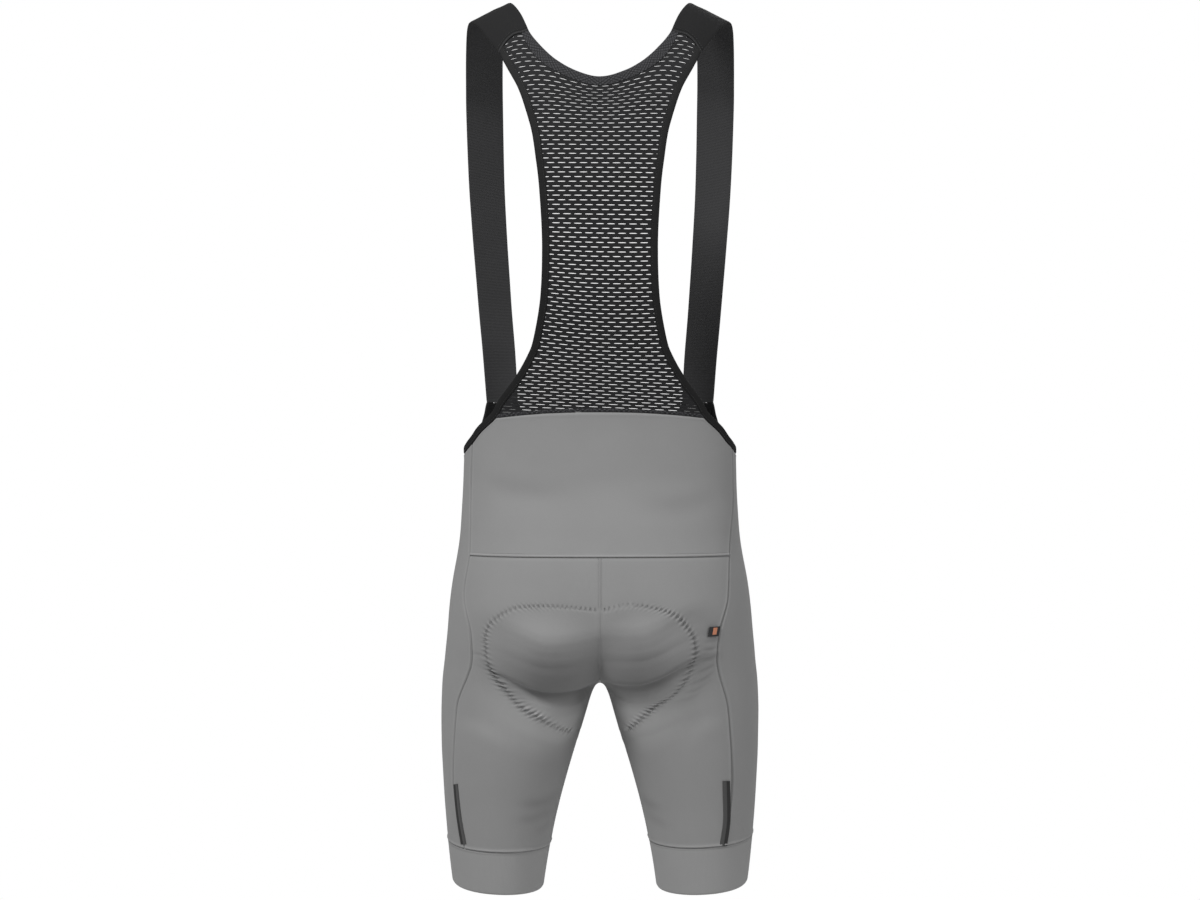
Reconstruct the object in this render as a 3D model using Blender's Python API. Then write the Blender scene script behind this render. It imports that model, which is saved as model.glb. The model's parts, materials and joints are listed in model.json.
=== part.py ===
"""Cycling bib shorts in their worn shape, built from the pieces that are cut and sewn.

Frame: +Z is up and the wearer faces -Y, so the wearer's left is +X.  The origin lies
midway between the crests of the two shoulder straps, where the wearer holds them up.
Every named size is in millimetres, and "drop" is a distance down from the shoulder line.

The cloth lies on one smooth form, the torso joined to two thighs.  A place on it is
given by its drop and its share of the way round one side: 0 is the centre back, or
the inseam on a leg, 0.5 is the outer side, and 1 is the centre front.  Shares from 0 to
-1 run round the wearer's right side in the same way.
"""

from collections import namedtuple

import bmesh
import bpy
import numpy as np

MM = 0.001

# Thickness of each cloth, and the gap between neighbouring pieces.
KNIT = 1.5
MESH = 1.2
ELASTIC = 1.6
HEM = 2.0
HEM_PROUD = 0.3
BINDING = 2.5
BINDING_PROUD = 0.5
GRIPPER = 1.8
SEAM_GAP = 0.3
PAD_EDGE = 2.5
PAD_MIDDLE = 8.0
PAD_GAP = 3.1
PAD_CROTCH_GAP = 5.0
PAD_CROTCH_REACH = 150.0
PAD_SIDE_SLOPE = 2.2
PAD_END_SLOPE = 5.0

# Widths of the narrow pieces.
BINDING_WIDTH = 8.0
TAPE_TOP_WIDTH = 4.0
TAPE_FOOT_WIDTH = 7.0
TAPE_THICKNESS = 0.6
TAB_THICKNESS = 1.0

# Drops of the level seams.
MESH_SEAM = 443.3
MESH_SEAM_SAG = 6.0
YOKE_SEAM = 594.0
HEM_INNER = 953.5
HEM_OUTER = 943.5
GRIPPER_SEAM_INNER = {1: 906.5, -1: 902.5}
GRIPPER_SEAM_OUTER = {1: 898.5, -1: 892.5}

# The torso's level sections.
Torso = namedtuple("Torso", "drop half_width back front")
TORSO = (
    Torso(0, 165, 4, 4),
    Torso(20, 165, 30, 40),
    Torso(40, 165, 49, 62),
    Torso(65, 165, 68, 84),
    Torso(95, 165, 89, 100),
    Torso(130, 165, 101, 110),
    Torso(200, 165, 110, 118),
    Torso(300, 158, 104, 118),
    Torso(400, 149, 86, 114),
    Torso(455, 146, 80, 110),
    Torso(510, 147, 83, 109),
    Torso(570, 150, 99, 109),
    Torso(610, 152, 110, 107),
    Torso(650, 154, 116, 106),
    Torso(690, 150, 117, 106),
    Torso(720, 146, 112, 100),
)
TORSO_FOOT = 709.0
TORSO_POWER = 2.4

# The left thigh's level sections; the right one mirrors them.
Thigh = namedtuple("Thigh", "drop inner outer back front")
THIGH = (
    Thigh(560, -20, 118, 60, 60),
    Thigh(620, -20, 148, 88, 88),
    Thigh(660, -16, 157, 97, 94),
    Thigh(700, -3.5, 166, 95, 93),
    Thigh(735, 7.5, 170, 91, 91),
    Thigh(765, 16, 171, 88, 89),
    Thigh(797, 25.5, 170.5, 85, 86),
    Thigh(829, 35, 169, 80, 82),
    Thigh(861, 43.7, 167.2, 74, 78),
    Thigh(893, 51, 164.7, 69, 73),
    Thigh(926, 57, 161.4, 64, 68),
    Thigh(960, 62, 157, 60, 64),
)
THIGH_POWER = 2.1

# The padded swell of the seat on each side: its centre and its radii.
SWELL_X = 52.0
SWELL_Y = 60.0
SWELL_DROP = 691.0
SWELL_RADII = (62.0, 65.0, 47.0)

# How softly the parts of the form run into each other.
LEGS_BLEND = 28.0
TORSO_BLEND = 30.0
FOOT_BLEND = 64.0
SWELL_BLEND = 14.0

# A length that is past the form's surface from any place inside it.
REACH = 230.0

# Points of one piece that lie closer than this are one point.
WELD_REACH = 0.05

# About how far one whole share is round the body, to weigh shares against drops.
SHARE_LENGTH = 500.0

# How many points a seam is traced with before it is divided.
TRACE_COUNT = 600

# How near the inseam, in shares, the rows of a leg crowd towards the crotch.
INSEAM_REACH = 0.24

# Seams between the seat and the side panels, as distances from the middle.
SideSeam = namedtuple("SideSeam", "drop left right")
SIDE_SEAM = (
    SideSeam(470, 136, 141.0),
    SideSeam(530, 137, 142.0),
    SideSeam(585, 137, 137.0),
    SideSeam(635, 143, 134.5),
    SideSeam(677, 135, 124.0),
    SideSeam(700, 134, 122.0),
    SideSeam(755, 151, 134.5),
    SideSeam(830, 155, 139.0),
    SideSeam(905, 143, 128.5),
)
FRONT_SEAM_SHARE = 0.625

# The inner edge of the armhole binding, from the strap's back end to its front end.
Armhole = namedtuple("Armhole", "drop out face")
ARMHOLE = (
    Armhole(56.3, 100.9, "back"),
    Armhole(97, 80.8, "back"),
    Armhole(141, 65.8, "back"),
    Armhole(184, 58.3, "back"),
    Armhole(225, 54.2, "back"),
    Armhole(276, 52.2, "back"),
    Armhole(327, 54.4, "back"),
    Armhole(369, 61.9, "back"),
    Armhole(389, 69.4, "back"),
    Armhole(412, 83.2, "back"),
    Armhole(434, 100.3, "back"),
    Armhole(449, 109.5, "back"),
    Armhole(464, 126.0, "back"),
    Armhole(478, 138.0, "back"),
    Armhole(487, 146.0, "side"),
    Armhole(481, 139.0, "front"),
    Armhole(462, 129.0, "front"),
    Armhole(430, 119.4, "front"),
)
MESH_CORNER_ROW = 11

# Where the mesh's arms leave the back: on the armhole, and the row of the necklines.
ARM_FOOT = 112.0
ARM_NECK_ROW = 2

# The neckline at the back and at the front: the free edge and the binding's seam.
Neck = namedtuple("Neck", "drop out")
BACK_NECK_EDGE = (
    Neck(38.4, 75.4),
    Neck(56.4, 62.7),
    Neck(74.5, 45.0),
    Neck(87.5, 24.0),
    Neck(94.0, 0.0),
)
BACK_NECK_SEAM = (
    Neck(42.1, 82.5),
    Neck(66.0, 70.5),
    Neck(84.3, 51.7),
    Neck(98.4, 25.5),
    Neck(104.5, 0.0),
)
FRONT_NECK_EDGE = (
    Neck(430, 92.6),
    Neck(455, 78.0),
    Neck(479, 55.0),
    Neck(495, 28.0),
    Neck(500, 0.0),
)
FRONT_NECK_SEAM = (
    Neck(430, 99.3),
    Neck(460, 85.0),
    Neck(486, 59.0),
    Neck(503, 30.0),
    Neck(508, 0.0),
)

# The left strap's edges, from its seam on the mesh over the shoulder to the front panel.
Strap = namedtuple("Strap", "outer_x outer_y outer_drop inner_x inner_y inner_drop")
STRAP = (
    Strap(106.0, 56, 64.1, 75.4, 44, 38.4),
    Strap(119.0, 37, 46.0, 84.0, 27, 18.0),
    Strap(131.0, 17, 28.0, 93.0, 11, 4.0),
    Strap(139.9, 0, 20.8, 98.8, -3, 0.0),
    Strap(144.5, -17, 25.0, 103.0, -22, 5.0),
    Strap(147.0, -38, 43.0, 106.5, -46, 26.0),
    Strap(148.5, -60, 75.0, 108.5, -71, 62.0),
    Strap(149.0, -78, 115.0, 109.0, -93, 108.0),
    Strap(146.0, -90, 200.0, 107.5, -108, 200.0),
    Strap(137.0, -89, 313.0, 101.0, -112, 313.0),
    Strap(130.5, -78, 380.0, 95.5, -104, 380.0),
    Strap(126.1, -68, 430.0, 92.6, -94, 430.0),
)
# How far the strap's back seam arches up between its ends, and which way it leans.
STRAP_SEAM_ARCH = (0.0, 3.8, 6.3, 6.6, 2.7, 0.0)
ARCH_OUT = 0.5
ARCH_UP = 0.8

# How strongly the strap's rows crowd at the shoulder, and over how many rows its ends
# are drawn onto their seams.
STRAP_CROWDING = 0.11
STRAP_FADE_ROWS = 5

# The seat pad's outline: its distances from the middle at the back and at the front.
Pad = namedtuple("Pad", "drop left right front")
PAD = (
    Pad(646, 84, 62, 24),
    Pad(655, 103, 79, 34),
    Pad(665, 114, 89, 40),
    Pad(684, 119, 98.5, 46),
    Pad(701, 117, 95.5, 48),
    Pad(714, 113, 89.5, 48),
    Pad(731, 100, 75, 46),
    Pad(755, 75, 52, 40),
    Pad(773, 45, 33, 28),
)

# The small label on the right side seam, and the tapes at the foot of the side seams.
TAB_TOP = 667.6
TAB_FOOT = 677.6
TAB_INNER = 112.5
TAB_OUTER = 123.8
TAPE_TOP = 836.5
TAPE_FOOT = 899.0

# How finely each piece is divided.
STRAP_ACROSS = 5
STRAP_ROWS = 24
NECK_COLUMNS = 18
SEAT_COLUMNS = 12
SIDE_COLUMNS = 6
FRONT_NECK_COLUMNS = 8
MESH_ROWS = 13
ARM_ROWS = 4
ARMHOLE_BACK_ROWS = 3
ARMHOLE_FRONT_ROWS = 4
WAIST_ROWS = 5
LEG_ROWS = 19
CROTCH_ROW = 10
CUFF_ROWS = 3
PAD_COLUMNS = 9
PAD_FIRST_ROW = 2
PAD_LEG_ROWS = 5

Look = namedtuple("Look", "colour roughness")
LOOKS = {
    "grey_knit": Look((0.26, 0.26, 0.26), 0.75),
    "grey_gripper": Look((0.24, 0.24, 0.24), 0.7),
    "black_mesh": Look((0.03, 0.03, 0.033), 0.85),
    "black_elastic": Look((0.028, 0.028, 0.028), 0.8),
    "black_binding": Look((0.014, 0.014, 0.014), 0.8),
    "dark_tape": Look((0.05, 0.05, 0.05), 0.45),
    "label_black": Look((0.02, 0.02, 0.02), 0.7),
    "pad_foam": Look((0.05, 0.05, 0.05), 0.9),
}


# ---------------------------------------------------------------- curves and sections

def column(rows, name):
    """One named column of a table, as an array."""
    return np.array([getattr(row, name) for row in rows], float)


def smooth(stops, values, wanted):
    """A smooth curve through values at rising stops, which never overshoots them."""
    step = np.diff(stops)
    slope = np.diff(values) / step
    rate = np.empty_like(values)
    rate[0] = slope[0]
    rate[-1] = slope[-1]
    for i in range(1, len(values) - 1):
        if slope[i - 1] * slope[i] <= 0:
            rate[i] = 0.0
        else:
            before = 2 * step[i] + step[i - 1]
            after = step[i] + 2 * step[i - 1]
            rate[i] = (before + after) / (before / slope[i - 1] + after / slope[i])
    wanted = np.clip(wanted, stops[0], stops[-1])
    i = np.clip(np.searchsorted(stops, wanted) - 1, 0, len(stops) - 2)
    t = (wanted - stops[i]) / step[i]
    ease = t * t * (3 - 2 * t)
    rise = t * (1 - t) ** 2 * rate[i] - t * t * (1 - t) * rate[i + 1]
    return values[i] * (1 - ease) + values[i + 1] * ease + rise * step[i]


def section(rows, name, drop):
    """A section's named size at any drop."""
    return smooth(column(rows, "drop"), column(rows, name), np.asarray(drop, float))


def spline(points, count, ease=None):
    """A smooth line through points, sampled at equal lengths or at the given shares."""
    points = np.asarray(points, float)
    ends = np.vstack((2 * points[0] - points[1], points, 2 * points[-1] - points[-2]))
    fine = []
    for i in range(len(points) - 1):
        a, b, c, d = ends[i:i + 4]
        for t in np.linspace(0, 1, 24, endpoint=False):
            bend = (2 * a - 5 * b + 4 * c - d) * t * t + (3 * b - a - 3 * c + d) * t ** 3
            fine.append(b + 0.5 * ((c - a) * t + bend))
    fine = np.array(fine + [points[-1]])
    return resample(fine, count, ease)


def resample(line, count, shares=None):
    """A line sampled again at equal lengths, or at the given shares of its length."""
    steps = np.linalg.norm(np.diff(line, axis=0), axis=1)
    length = np.concatenate(([0.0], np.cumsum(steps)))
    shares = np.linspace(0, 1, count + 1) if shares is None else np.asarray(shares)
    places = [np.interp(shares * length[-1], length, line[:, k]) for k in range(line.shape[1])]
    return np.stack(places, axis=1)


# ---------------------------------------------------------------- the worn form

def blend(a, b, reach):
    """The smaller of two distances, rounded where they come within reach of each other."""
    near = np.clip(1 - np.abs(a - b) / reach, 0, None)
    return np.minimum(a, b) - near * near * reach / 4


def tube(x, y, half_width, back, front, power):
    """Distance out from a level section that is rounder or squarer by its power."""
    depth = np.where(y > 0, back, front)
    ratio = (np.abs(x / half_width) ** power + np.abs(y / depth) ** power) ** (1 / power)
    return (ratio - 1) * (half_width + depth) / 2


def form(x, y, drop):
    """Distance out from the garment's outer surface, negative inside it."""
    width = section(TORSO, "half_width", drop)
    back = section(TORSO, "back", drop)
    front = section(TORSO, "front", drop)
    torso = tube(x, y, width, back, front, TORSO_POWER)
    torso = -blend(-torso, TORSO_FOOT - drop, FOOT_BLEND)
    inner = section(THIGH, "inner", drop)
    outer = section(THIGH, "outer", drop)
    middle = (inner + outer) / 2
    half = (outer - inner) / 2
    back = section(THIGH, "back", drop)
    front = section(THIGH, "front", drop)
    left = tube(x - middle, y, half, back, front, THIGH_POWER)
    right = tube(x + middle, y, half, back, front, THIGH_POWER)
    legs = blend(left, right, LEGS_BLEND) + np.clip(THIGH[0].drop - drop, 0, None)
    across = (np.abs(x) - SWELL_X) / SWELL_RADII[0]
    deep = (y - SWELL_Y) / SWELL_RADII[1]
    down = (drop - SWELL_DROP) / SWELL_RADII[2]
    swell = (np.sqrt(across ** 2 + deep ** 2 + down ** 2) - 1) * SWELL_RADII[2]
    return blend(blend(torso, legs, TORSO_BLEND), swell, SWELL_BLEND)


def outward(points):
    """Unit normals of the form at points (x, y, drop turned to -z)."""
    step = 0.4
    normals = np.zeros_like(points)
    for axis in range(3):
        shift = np.zeros(3)
        shift[axis] = step
        ahead = points + shift
        behind = points - shift
        rise = form(ahead[..., 0], ahead[..., 1], -ahead[..., 2])
        fall = form(behind[..., 0], behind[..., 1], -behind[..., 2])
        normals[..., axis] = rise - fall
    return normals / np.linalg.norm(normals, axis=-1, keepdims=True)


def root(distance, inside, outside):
    """Where a distance turns from negative to positive, between two arrays of places."""
    low = np.array(inside, float)
    high = np.array(outside, float)
    for _ in range(28):
        middle = (low + high) / 2
        within = distance(middle) < 0
        low = np.where(within, middle, low)
        high = np.where(within, high, middle)
    return (low + high) / 2


def find_crotch():
    """Drop of the point where the legs part."""
    return float(root(lambda drop: form(0.0, 0.0, drop), 700.0, 760.0))


CROTCH = find_crotch()


def leg_middle(drop):
    """Distance from the middle to the axis that one side's sections turn about."""
    inner = section(THIGH, "inner", drop)
    outer = section(THIGH, "outer", drop)
    return (inner + outer) / 2 + np.clip(620 - drop, 0, 60) * 0.1


def turn_limits(drop):
    """Angles of the centre back and the centre front, seen from one side's axis."""
    drop = np.asarray(drop, float)
    still = np.zeros_like(drop)
    back = root(lambda y: form(still, y, drop), still, still + REACH)
    front = root(lambda y: form(still, -y, drop), still, still + REACH)
    whole = drop < CROTCH
    start = np.where(whole, np.arctan2(back, leg_middle(drop)), 0.0)
    end = 2 * np.pi - np.where(whole, np.arctan2(front, leg_middle(drop)), 0.0)
    return start, end


def fold_share(share):
    """Splits a running share into its side (1 left, -1 right) and its place on it.

    The right leg's inseam is minus zero, and the left front runs past 1 to the right.
    """
    share = np.asarray(share, float)
    share = np.where(share > 1, share - 2, share)
    return np.copysign(1.0, share), np.abs(share)


def place(spots):
    """Points on the form for an array of (share, drop)."""
    spots = np.asarray(spots, float)
    side, share = fold_share(spots[..., 0])
    drop = spots[..., 1]
    start, end = turn_limits(drop)
    angle = start + share * (end - start)
    axis = leg_middle(drop)
    ahead = -np.cos(angle)
    aside = np.sin(angle)
    far = np.minimum(REACH, axis / np.clip(-ahead, 1e-6, None))
    reach = root(lambda r: form(axis + r * ahead, r * aside, drop), 0 * drop, far)
    out = axis + reach * ahead
    return np.stack((side * np.clip(out, 0, None), reach * aside, -drop), axis=-1)


def spot(out, drop, face, side=1):
    """(share, drop) of a place on the back or the front, out from the middle."""
    out = np.asarray(out, float)
    drop = np.broadcast_to(np.asarray(drop, float), out.shape)
    sign = 1.0 if face == "back" else -1.0
    deep = root(lambda y: form(out, sign * y, drop), 0 * out, 0 * out + REACH)
    start, end = turn_limits(drop)
    angle = np.arctan2(sign * deep, leg_middle(drop) - out) % (2 * np.pi)
    return np.stack((side * (angle - start) / (end - start), drop), axis=-1)


def on_back(out, drop):
    """Points on the back of the form, straight behind places on the middle plane."""
    deep = root(lambda y: form(out, y, drop), 0 * out, 0 * out + REACH)
    return np.stack((out, deep, -drop), axis=-1)


# ---------------------------------------------------------------- seams

def side_seam(side, drops):
    """The seam between the seat and the side panel, as spots at the given drops."""
    name = "left" if side > 0 else "right"
    return spot(section(SIDE_SEAM, name, drops), drops, "back", side)


def front_seam(side, drops):
    """The seam between the side panel and the front panel."""
    drops = np.asarray(drops, float)
    return np.stack((0 * drops + side * FRONT_SEAM_SHARE, drops), axis=-1)


def armhole_spots(side):
    """The armhole binding's seam as close-set spots, and where its named rows fall."""
    spots = []
    for row in ARMHOLE:
        if row.face == "side":
            spots.append((side * 0.5, row.drop))
        else:
            spots.append(tuple(spot(row.out, row.drop, row.face, side)))
    scale = np.array((SHARE_LENGTH, 1.0))
    line = spline(np.array(spots) * scale, TRACE_COUNT) / scale
    corner = nearest(line, spots[MESH_CORNER_ROW])
    return line, corner


def nearest(line, wanted):
    """Index of the line's spot that lies nearest to a wanted one."""
    away = (line - np.asarray(wanted)) * np.array((SHARE_LENGTH, 1.0))
    return int(np.argmin(np.linalg.norm(away, axis=1)))


def crossing(line, start, seam, side):
    """Index past start at which the armhole line crosses an upright seam."""
    gap = side * (line[start:, 0] - seam(side, line[start:, 1])[:, 0])
    return start + int(np.argmax(gap > 0))


def mesh_seam(v):
    """Drop of the seam between mesh and yoke at shares across the back."""
    edge = spot(ARMHOLE[MESH_CORNER_ROW].out, ARMHOLE[MESH_CORNER_ROW].drop, "back")[0]
    return MESH_SEAM + MESH_SEAM_SAG * (np.asarray(v) / edge) ** 2


def join(left, right, count):
    """A smooth line of spots through the left side's and then the right side's."""
    scale = np.array((SHARE_LENGTH, 1.0))
    return spline(np.vstack((left, right)) * scale, count) / scale


def strap_seam(side, face):
    """The strap's end seam as spots from the armhole edge to the neck edge."""
    ends = STRAP[0] if face == "back" else STRAP[-1]
    t = np.linspace(0, 1, STRAP_ACROSS + 1)
    out = ends.outer_x + (ends.inner_x - ends.outer_x) * t
    drop = ends.outer_drop + (ends.inner_drop - ends.outer_drop) * t
    if face == "back":
        lift = np.array(STRAP_SEAM_ARCH)
        out = out + ARCH_OUT * lift
        drop = drop - ARCH_UP * lift
    return spot(out, drop, face, side)


# ---------------------------------------------------------------- patches and walls

def coons(foot, head, left, right):
    """A patch of spots between four lines: rows from foot to head, columns left to right."""
    rows = len(left)
    columns = len(foot)
    u = np.linspace(0, 1, columns)[None, :, None]
    t = np.linspace(0, 1, rows)[:, None, None]
    upright = (1 - t) * foot[None] + t * head[None]
    level = (1 - u) * left[:, None] + u * right[:, None]
    corners = (1 - t) * ((1 - u) * foot[0] + u * foot[-1])
    corners = corners + t * ((1 - u) * head[0] + u * head[-1])
    return upright + level - corners


def net(grids):
    """Joins grids of points into one net: its points, their sources and its faces."""
    points = np.vstack([grid.reshape(-1, 3) for grid in grids])
    index = []
    keep = []
    for k, point in enumerate(points):
        away = np.linalg.norm(points[keep] - point, axis=1) if keep else np.array([])
        if len(away) and away.min() < WELD_REACH:
            index.append(int(np.argmin(away)))
        else:
            index.append(len(keep))
            keep.append(k)
    faces = []
    base = 0
    for grid in grids:
        rows, columns = grid.shape[:2]
        for r in range(rows - 1):
            for c in range(columns - 1):
                a = base + r * columns + c
                corners = [index[k] for k in (a, a + 1, a + 1 + columns, a + columns)]
                ring = list(dict.fromkeys(corners))
                if len(ring) > 2:
                    faces.append(tuple(ring))
        base += rows * columns
    return points[keep], keep, faces


def border(faces):
    """Edges that only one face has, with that face."""
    seen = {}
    for face in faces:
        for a, b in zip(face, face[1:] + face[:1]):
            seen.setdefault((min(a, b), max(a, b)), []).append((a, b, face))
    return [edges[0] for edges in seen.values() if len(edges) == 1]


def draw_in(points, normals, faces):
    """Draws a net's free edges in by half a seam gap, square to each edge."""
    inward = {}
    for a, b, face in border(faces):
        along = points[b] - points[a]
        square = np.cross(normals[a] + normals[b], along)
        square = square / np.linalg.norm(square)
        inside = points[list(face)].mean(axis=0) - (points[a] + points[b]) / 2
        square = square * np.sign(square @ inside)
        inward.setdefault(a, []).append(square)
        inward.setdefault(b, []).append(square)
    result = points.copy()
    for k, (first, second) in inward.items():
        result[k] += (first + second) / (1 + first @ second) * SEAM_GAP / 2
    return result


def material(name):
    """A plain material with the look of one cloth."""
    existing = bpy.data.materials.get(name)
    if existing:
        return existing
    look = LOOKS[name]
    made = bpy.data.materials.new(name)
    made.use_nodes = True
    shader = made.node_tree.nodes["Principled BSDF"]
    shader.inputs["Base Color"].default_value = (*look.colour, 1.0)
    shader.inputs["Roughness"].default_value = look.roughness
    made.diffuse_color = (*look.colour, 1.0)
    return made


def add_object(name, vertices, faces, look):
    """Adds one closed body with outward faces."""
    mesh = bpy.data.meshes.new(name)
    mesh.from_pydata([tuple(v) for v in np.asarray(vertices) * MM], [], faces)
    work = bmesh.new()
    work.from_mesh(mesh)
    bmesh.ops.recalc_face_normals(work, faces=work.faces)
    work.to_mesh(mesh)
    work.free()
    mesh.shade_smooth()
    mesh.set_sharp_from_angle(angle=np.radians(40))
    mesh.materials.append(material(look))
    made = bpy.data.objects.new(name, mesh)
    bpy.context.collection.objects.link(made)
    return made


def add_cloth(name, grids, look, out, depth, normals=None):
    """Adds a closed wall over grids of points, from out beyond them to depth behind."""
    total = sum(grid.shape[0] * grid.shape[1] for grid in grids)
    points, keep, faces = net(grids)
    out = np.broadcast_to(out, total)[keep][:, None]
    depth = np.broadcast_to(depth, total)[keep][:, None]
    normals = outward(points) if normals is None else normals.reshape(-1, 3)[keep]
    points = draw_in(points, normals, faces)
    size = len(points)
    walls = list(faces)
    walls += [tuple(size + k for k in face[:1] + face[:0:-1]) for face in faces]
    walls += [(a, b, b + size, a + size) for a, b, _ in border(faces)]
    vertices = np.vstack((points + normals * out, points - normals * depth))
    return add_object(name, vertices, walls, look)


# ---------------------------------------------------------------- the upper pieces

def armhole_parts(side):
    """The armhole seam cut at the arm's foot, the yoke corner and the upright seams."""
    line, corner = armhole_spots(side)
    arm = int(np.argmax(line[:, 1] > ARM_FOOT))
    back = crossing(line, corner, side_seam, side)
    front = crossing(line, back, front_seam, side)
    parts = {
        "arm": resample(line[:arm + 1], ARM_ROWS)[::-1],
        "mesh": resample(line[arm:corner + 1], MESH_ROWS)[::-1],
        "yoke": resample(line[corner:back + 1], ARMHOLE_BACK_ROWS),
        "side": resample(line[back:front + 1], SIDE_COLUMNS),
        "front": resample(line[front:], ARMHOLE_FRONT_ROWS),
    }
    parts["arm"][-1] = strap_seam(side, "back")[1]
    parts["front"][-1] = strap_seam(side, "front")[1]
    return parts


def waist_edge(side, seam, armhole):
    """An upright seam from the yoke level up to the armhole, in even rows."""
    drops = np.linspace(YOKE_SEAM, armhole[1], WAIST_ROWS + 1)
    edge = seam(side, drops)
    edge[-1] = armhole
    return edge


def across_back(drop_of):
    """Spots across the whole back at the seat panels' columns."""
    left = side_seam(1, np.array([YOKE_SEAM]))[0, 0]
    right = side_seam(-1, np.array([YOKE_SEAM]))[0, 0]
    shares = np.concatenate((
        np.linspace(left, 0, SEAT_COLUMNS + 1),
        np.linspace(0, right, SEAT_COLUMNS + 1)[1:],
    ))
    return np.stack((shares, 0 * shares + drop_of(shares)), axis=-1)


def mesh_foot(left_corner, right_corner):
    """The seam between mesh and yoke, in the same columns as the yoke's foot."""
    shares = np.concatenate((
        np.linspace(left_corner[0], 0, SEAT_COLUMNS + 1),
        np.linspace(0, right_corner[0], SEAT_COLUMNS + 1)[1:],
    ))
    line = np.stack((shares, mesh_seam(shares)), axis=-1)
    line[0] = left_corner
    line[-1] = right_corner
    return line


def back_neck(rows):
    """The back neckline from strap to strap, cut at the feet of the mesh's two arms."""
    left = np.array([spot(row.out, row.drop, "back") for row in rows])
    right = left[::-1] * np.array((-1.0, 1.0))
    line = join(left, right[1:], TRACE_COUNT)
    foot = nearest(line, left[ARM_NECK_ROW])
    arm = resample(line[:foot + 1], ARM_ROWS)
    middle = resample(line[foot:len(line) - foot], NECK_COLUMNS)
    return np.vstack((arm, middle[1:], (arm[-2::-1]) * np.array((-1.0, 1.0))))


def plan(spots):
    """Distances out and down of spots, as seen from straight behind."""
    return place(spots)[..., [0, 2]]


def add_mesh(parts):
    """The open racerback mesh: the back and the two arms that reach the straps."""
    neck = back_neck(BACK_NECK_SEAM)
    arm_feet = {}
    grids = []
    for side in (1, -1):
        inner = neck[:ARM_ROWS + 1][::-1] if side > 0 else neck[-ARM_ROWS - 1:]
        outer = parts[side]["arm"]
        t = np.linspace(0, 1, STRAP_ACROSS - 1)[:, None]
        head = plan(strap_seam(side, "back")[1:-1])
        feet = plan(outer[0]) * (1 - t) + plan(inner[0]) * t
        arm_feet[side] = feet
        grids.append(coons(feet, head, plan(outer), plan(inner)))
    middle = plan(neck[ARM_ROWS + 1:-ARM_ROWS - 1])
    head = np.vstack((arm_feet[1], middle, arm_feet[-1][::-1]))
    foot = plan(mesh_foot(parts[1]["mesh"][0], parts[-1]["mesh"][0]))
    grids.append(coons(foot, head, plan(parts[1]["mesh"]), plan(parts[-1]["mesh"])))
    grids = [on_back(grid[..., 0], -grid[..., 1]) for grid in grids]
    return add_cloth("back_mesh", grids, "black_mesh", 0.0, MESH)


def add_neck_hem():
    """The turned hem along the top of the mesh, from strap to strap."""
    foot = back_neck(BACK_NECK_SEAM)
    head = back_neck(BACK_NECK_EDGE)
    for end, side in ((0, 1), (-1, -1)):
        foot[end] = strap_seam(side, "back")[-2]
        head[end] = strap_seam(side, "back")[-1]
    grid = place(np.stack((foot, (foot + head) / 2, head)))
    return add_cloth("neck_hem", [grid], "black_mesh", HEM_PROUD, HEM - HEM_PROUD)


def add_yoke(left, right):
    """The grey back yoke, from the mesh down to the seat seam."""
    left_edge = waist_edge(1, side_seam, left["yoke"][-1])
    right_edge = waist_edge(-1, side_seam, right["yoke"][-1])
    left_edge = np.vstack((left_edge, left["yoke"][-2::-1]))
    right_edge = np.vstack((right_edge, right["yoke"][-2::-1]))
    foot = across_back(lambda shares: YOKE_SEAM)
    head = mesh_foot(left["mesh"][0], right["mesh"][0])
    grid = place(coons(foot, head, left_edge, right_edge))
    return add_cloth("back_yoke", [grid], "grey_knit", 0.0, KNIT)


def add_armhole_binding(side, name, parts):
    """The binding that runs down the mesh and the yoke, round the side and up in front."""
    chain = np.vstack((
        parts["arm"][::-1],
        parts["mesh"][-2::-1],
        parts["yoke"][1:],
        parts["side"][1:],
        parts["front"][1:],
    ))
    seam = place(chain)
    along = np.gradient(seam, axis=0)
    square = side * np.cross(along, outward(seam))
    square = square / np.linalg.norm(square, axis=-1, keepdims=True)
    free = seam + square * BINDING_WIDTH
    free[0] = place(strap_seam(side, "back")[0])
    free[-1] = place(strap_seam(side, "front")[0])
    grid = np.stack((seam, onto_form((seam + free) / 2), onto_form(free)))
    out = BINDING_PROUD
    return add_cloth(name, [grid], "black_binding", out, BINDING - out)


def onto_form(points):
    """Moves nearby points onto the form along its normals."""
    for _ in range(4):
        away = form(points[..., 0], points[..., 1], -points[..., 2])
        points = points - outward(points) * away[..., None]
    return points


def front_neck(rows):
    """The front neckline from the left strap to the right one."""
    left = np.array([spot(row.out, row.drop, "front") for row in rows])
    right = left[-2::-1] * np.array((-1.0, 1.0)) + np.array((2.0, 0.0))
    return join(left, right, 2 * FRONT_NECK_COLUMNS)


def add_front_binding():
    """The binding along the low front neckline, from strap to strap."""
    foot = front_neck(FRONT_NECK_SEAM)
    head = front_neck(FRONT_NECK_EDGE)
    left_end = strap_seam(1, "front")
    right_end = strap_seam(-1, "front") + np.array((2.0, 0.0))
    for end, seam in ((0, left_end), (-1, right_end)):
        foot[end] = seam[-2]
        head[end] = seam[-1]
    grid = place(np.stack((foot, (foot + head) / 2, head)))
    out = BINDING_PROUD
    return add_cloth("front_neck_binding", [grid], "black_binding", out, BINDING - out)


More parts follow.
